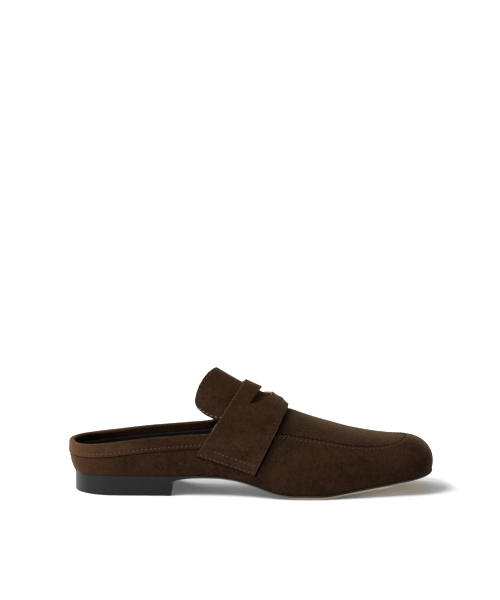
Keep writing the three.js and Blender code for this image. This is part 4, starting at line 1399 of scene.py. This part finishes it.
# %% Stitches along the strap's front edge
across = np.linspace(-0.97, 0.97, 320)
share = np.full_like(across, 0.95)
for _ in range(6):
    _, x, _, rear, front, _ = strap_place(across, share)
    share = np.clip(share + ((front - x) * 0.86 - 2.1 * MM) / (0.86 * (front - rear)), 0.5, 1)
bm = bmesh.new()
sew(bm, strap_surface, np.stack((across, share), axis=1), STITCH_PITCH, lean=6, size=0.75)
front_stitches = finish_piece(bm, "strap_front_stitches", None, [thread_dull])


# %% Stitches of the tongue
def tongue_surface(row, by=0.0):
    side, x, t, _, _ = tongue_place(row[:, 0], row[:, 1])
    return tongue_point(side, x, t, by)


def tongue_side_row(side, inside, start, stop, count=60):
    """Shares of a row that keeps its distance from one side edge of the tongue."""
    share = np.linspace(start, stop, count)
    across = np.full(count, 0.95 * side)
    for _ in range(8):
        here = tongue_surface(np.stack((across, share), axis=1))
        edge = tongue_surface(np.stack((np.full(count, side), share), axis=1))
        more = tongue_surface(np.stack((across - side * 0.01, share), axis=1))
        missing = inside - np.linalg.norm(here - edge, axis=1)
        across = across - side * 0.01 * missing / np.linalg.norm(more - here, axis=1)
    return np.stack((across, share), axis=1)


def tongue_rows(inside, count=240):
    """Rows inside the tongue's edge: up one side, round its end, and down the other side."""
    across = np.linspace(-0.9, 0.9, count)
    end = tongue_place(across, np.zeros(count))[3]
    round_end = np.stack((across, 1.05 * inside / (TONGUE_FRONT * LENGTH - end)), axis=1)
    near = tongue_side_row(-1.0, inside, 0.5, round_end[0, 1])
    far = tongue_side_row(1.0, inside, round_end[-1, 1], 0.5)
    kept = (across > near[-1, 0]) & (across < far[0, 0])
    return near, round_end[kept], far


near_row, end_row, far_row = tongue_rows(1.9 * MM)
bm = bmesh.new()
sew(bm, tongue_surface, near_row, STITCH_PITCH, lean=0)
sew(bm, tongue_surface, far_row, STITCH_PITCH, lean=0)
tongue_side_stitches = finish_piece(bm, "tongue_side_stitches", None, [thread_light])
bm = bmesh.new()
sew(bm, tongue_surface, end_row, STITCH_PITCH, lean=0, size=0.8)
tongue_end_stitches = finish_piece(bm, "tongue_end_stitches", None, [thread_tan])


# %% Stitches of the apron seam
def wall_lip_surface(row, by=0.0):
    """row: around, distance below the apron seam."""
    around, below = row[:, 0], row[:, 1]
    seam = seam_at(around)
    gap = last_point(around, seam + 0.01) - last_point(around, seam - 0.01)
    t = seam - below / (np.linalg.norm(gap, axis=1) / 0.02)
    return raised(around, t, SEAM_LIP + by)


bm = bmesh.new()
apron_start = share_at(0.56 * LENGTH)
turns = np.linspace(apron_start, 2 - apron_start, 600)
sew(bm, wall_lip_surface, np.stack((turns, np.full(600, 2.3 * MM)), axis=1), APRON_PITCH, lean=35, size=0.8)
apron_stitches = finish_piece(bm, "apron_stitches", None, [thread_tan])
bm = bmesh.new()
row = np.stack((turns, np.full(600, 0.75 * MM)), axis=1)
sew(bm, wall_lip_surface, row, APRON_PITCH, lean=-40, size=0.55, start=1.0)
apron_loops = finish_piece(bm, "apron_seam_loops", None, [thread_dull])

# %% [markdown]
# ## Stage, lights and camera
# The shoe stands on a white floor in a soft studio. A sky that is brighter on the left fills it. One
# wide lamp stands high on the left and a little in front, and a second comes low from behind on the
# left. The floor gives off a little light of its own, which thins the shadows as a lit table does.

# %% Stage
WHITE = (0.93, 0.93, 0.93, 1)
FLOOR_SIZE, FLOOR_GLOW = 60.0, 0.09
floor_bm = bmesh.new()
bmesh.ops.create_grid(floor_bm, x_segments=1, y_segments=1, size=FLOOR_SIZE)
floor_mesh = bpy.data.meshes.new("floor")
floor_bm.to_mesh(floor_mesh)
floor_bm.free()
floor = bpy.data.objects.new("floor", floor_mesh)
bpy.context.collection.objects.link(floor)
floor_paint, _, floor_shader = start_material("floor_white", Roughness=0.9, Specular_IOR_Level=0.1)
floor_shader.inputs["Base Color"].default_value = WHITE
floor_shader.inputs["Emission Color"].default_value = (1, 1, 1, 1)
floor_shader.inputs["Emission Strength"].default_value = FLOOR_GLOW
floor_mesh.materials.append(floor_paint)


# %% Lights
def make_world():
    """A soft sky, white near the horizon and dimmer above it."""
    world = bpy.data.worlds.new("studio")
    world.use_nodes = True
    tree = world.node_tree
    toward = place_node(tree, "TexCoord").outputs["Generated"]
    up = place_node(tree, "SeparateXYZ", {0: toward}).outputs[2]
    background = tree.nodes["Background"]
    background.inputs["Color"].default_value = (1, 1, 1, 1)
    right = place_node(tree, "SeparateXYZ", {0: toward}).outputs[0]
    sky = to_range(tree, right, -1.0, 1.0, SKY * 1.7, SKY * 0.3)
    tree.links.new(to_range(tree, up, 0.05, 0.2, 1.05, sky), background.inputs["Strength"])
    bpy.context.scene.world = world


def sun_light(name, toward, angle, strength):
    light = bpy.data.lights.new(name, "SUN")
    light.angle = math.radians(angle)
    light.energy = strength
    lamp = bpy.data.objects.new(name, light)
    bpy.context.collection.objects.link(lamp)
    lamp.rotation_euler = Vector(toward).to_track_quat("Z", "Y").to_euler()


SKY = 0.46
make_world()
sun_light("key", (-0.7, -0.3, 1.0), 30, 2.9)
sun_light("back", (-0.8, 0.75, 0.38), 34, 3.6)

# %% Camera
CAMERA_X, CAMERA_DISTANCE = -0.5 * MM, 1.445
CAMERA_ELEVATION = math.radians(12.5)
ORIGIN_BELOW_MIDDLE = 186.9 / 2000
camera_data = bpy.data.cameras.new("camera")
camera_data.lens = 120
camera_data.sensor_width = 36
camera = bpy.data.objects.new("camera", camera_data)
bpy.context.collection.objects.link(camera)
camera_back = CAMERA_DISTANCE * math.cos(CAMERA_ELEVATION)
camera_up = CAMERA_DISTANCE * math.sin(CAMERA_ELEVATION)
camera.location = (CAMERA_X, -camera_back, camera_up)
camera.rotation_euler = (math.pi / 2 - CAMERA_ELEVATION + math.atan(ORIGIN_BELOW_MIDDLE), 0, 0)
bpy.context.scene.camera = camera
bpy.context.scene.view_settings.view_transform = "Standard"
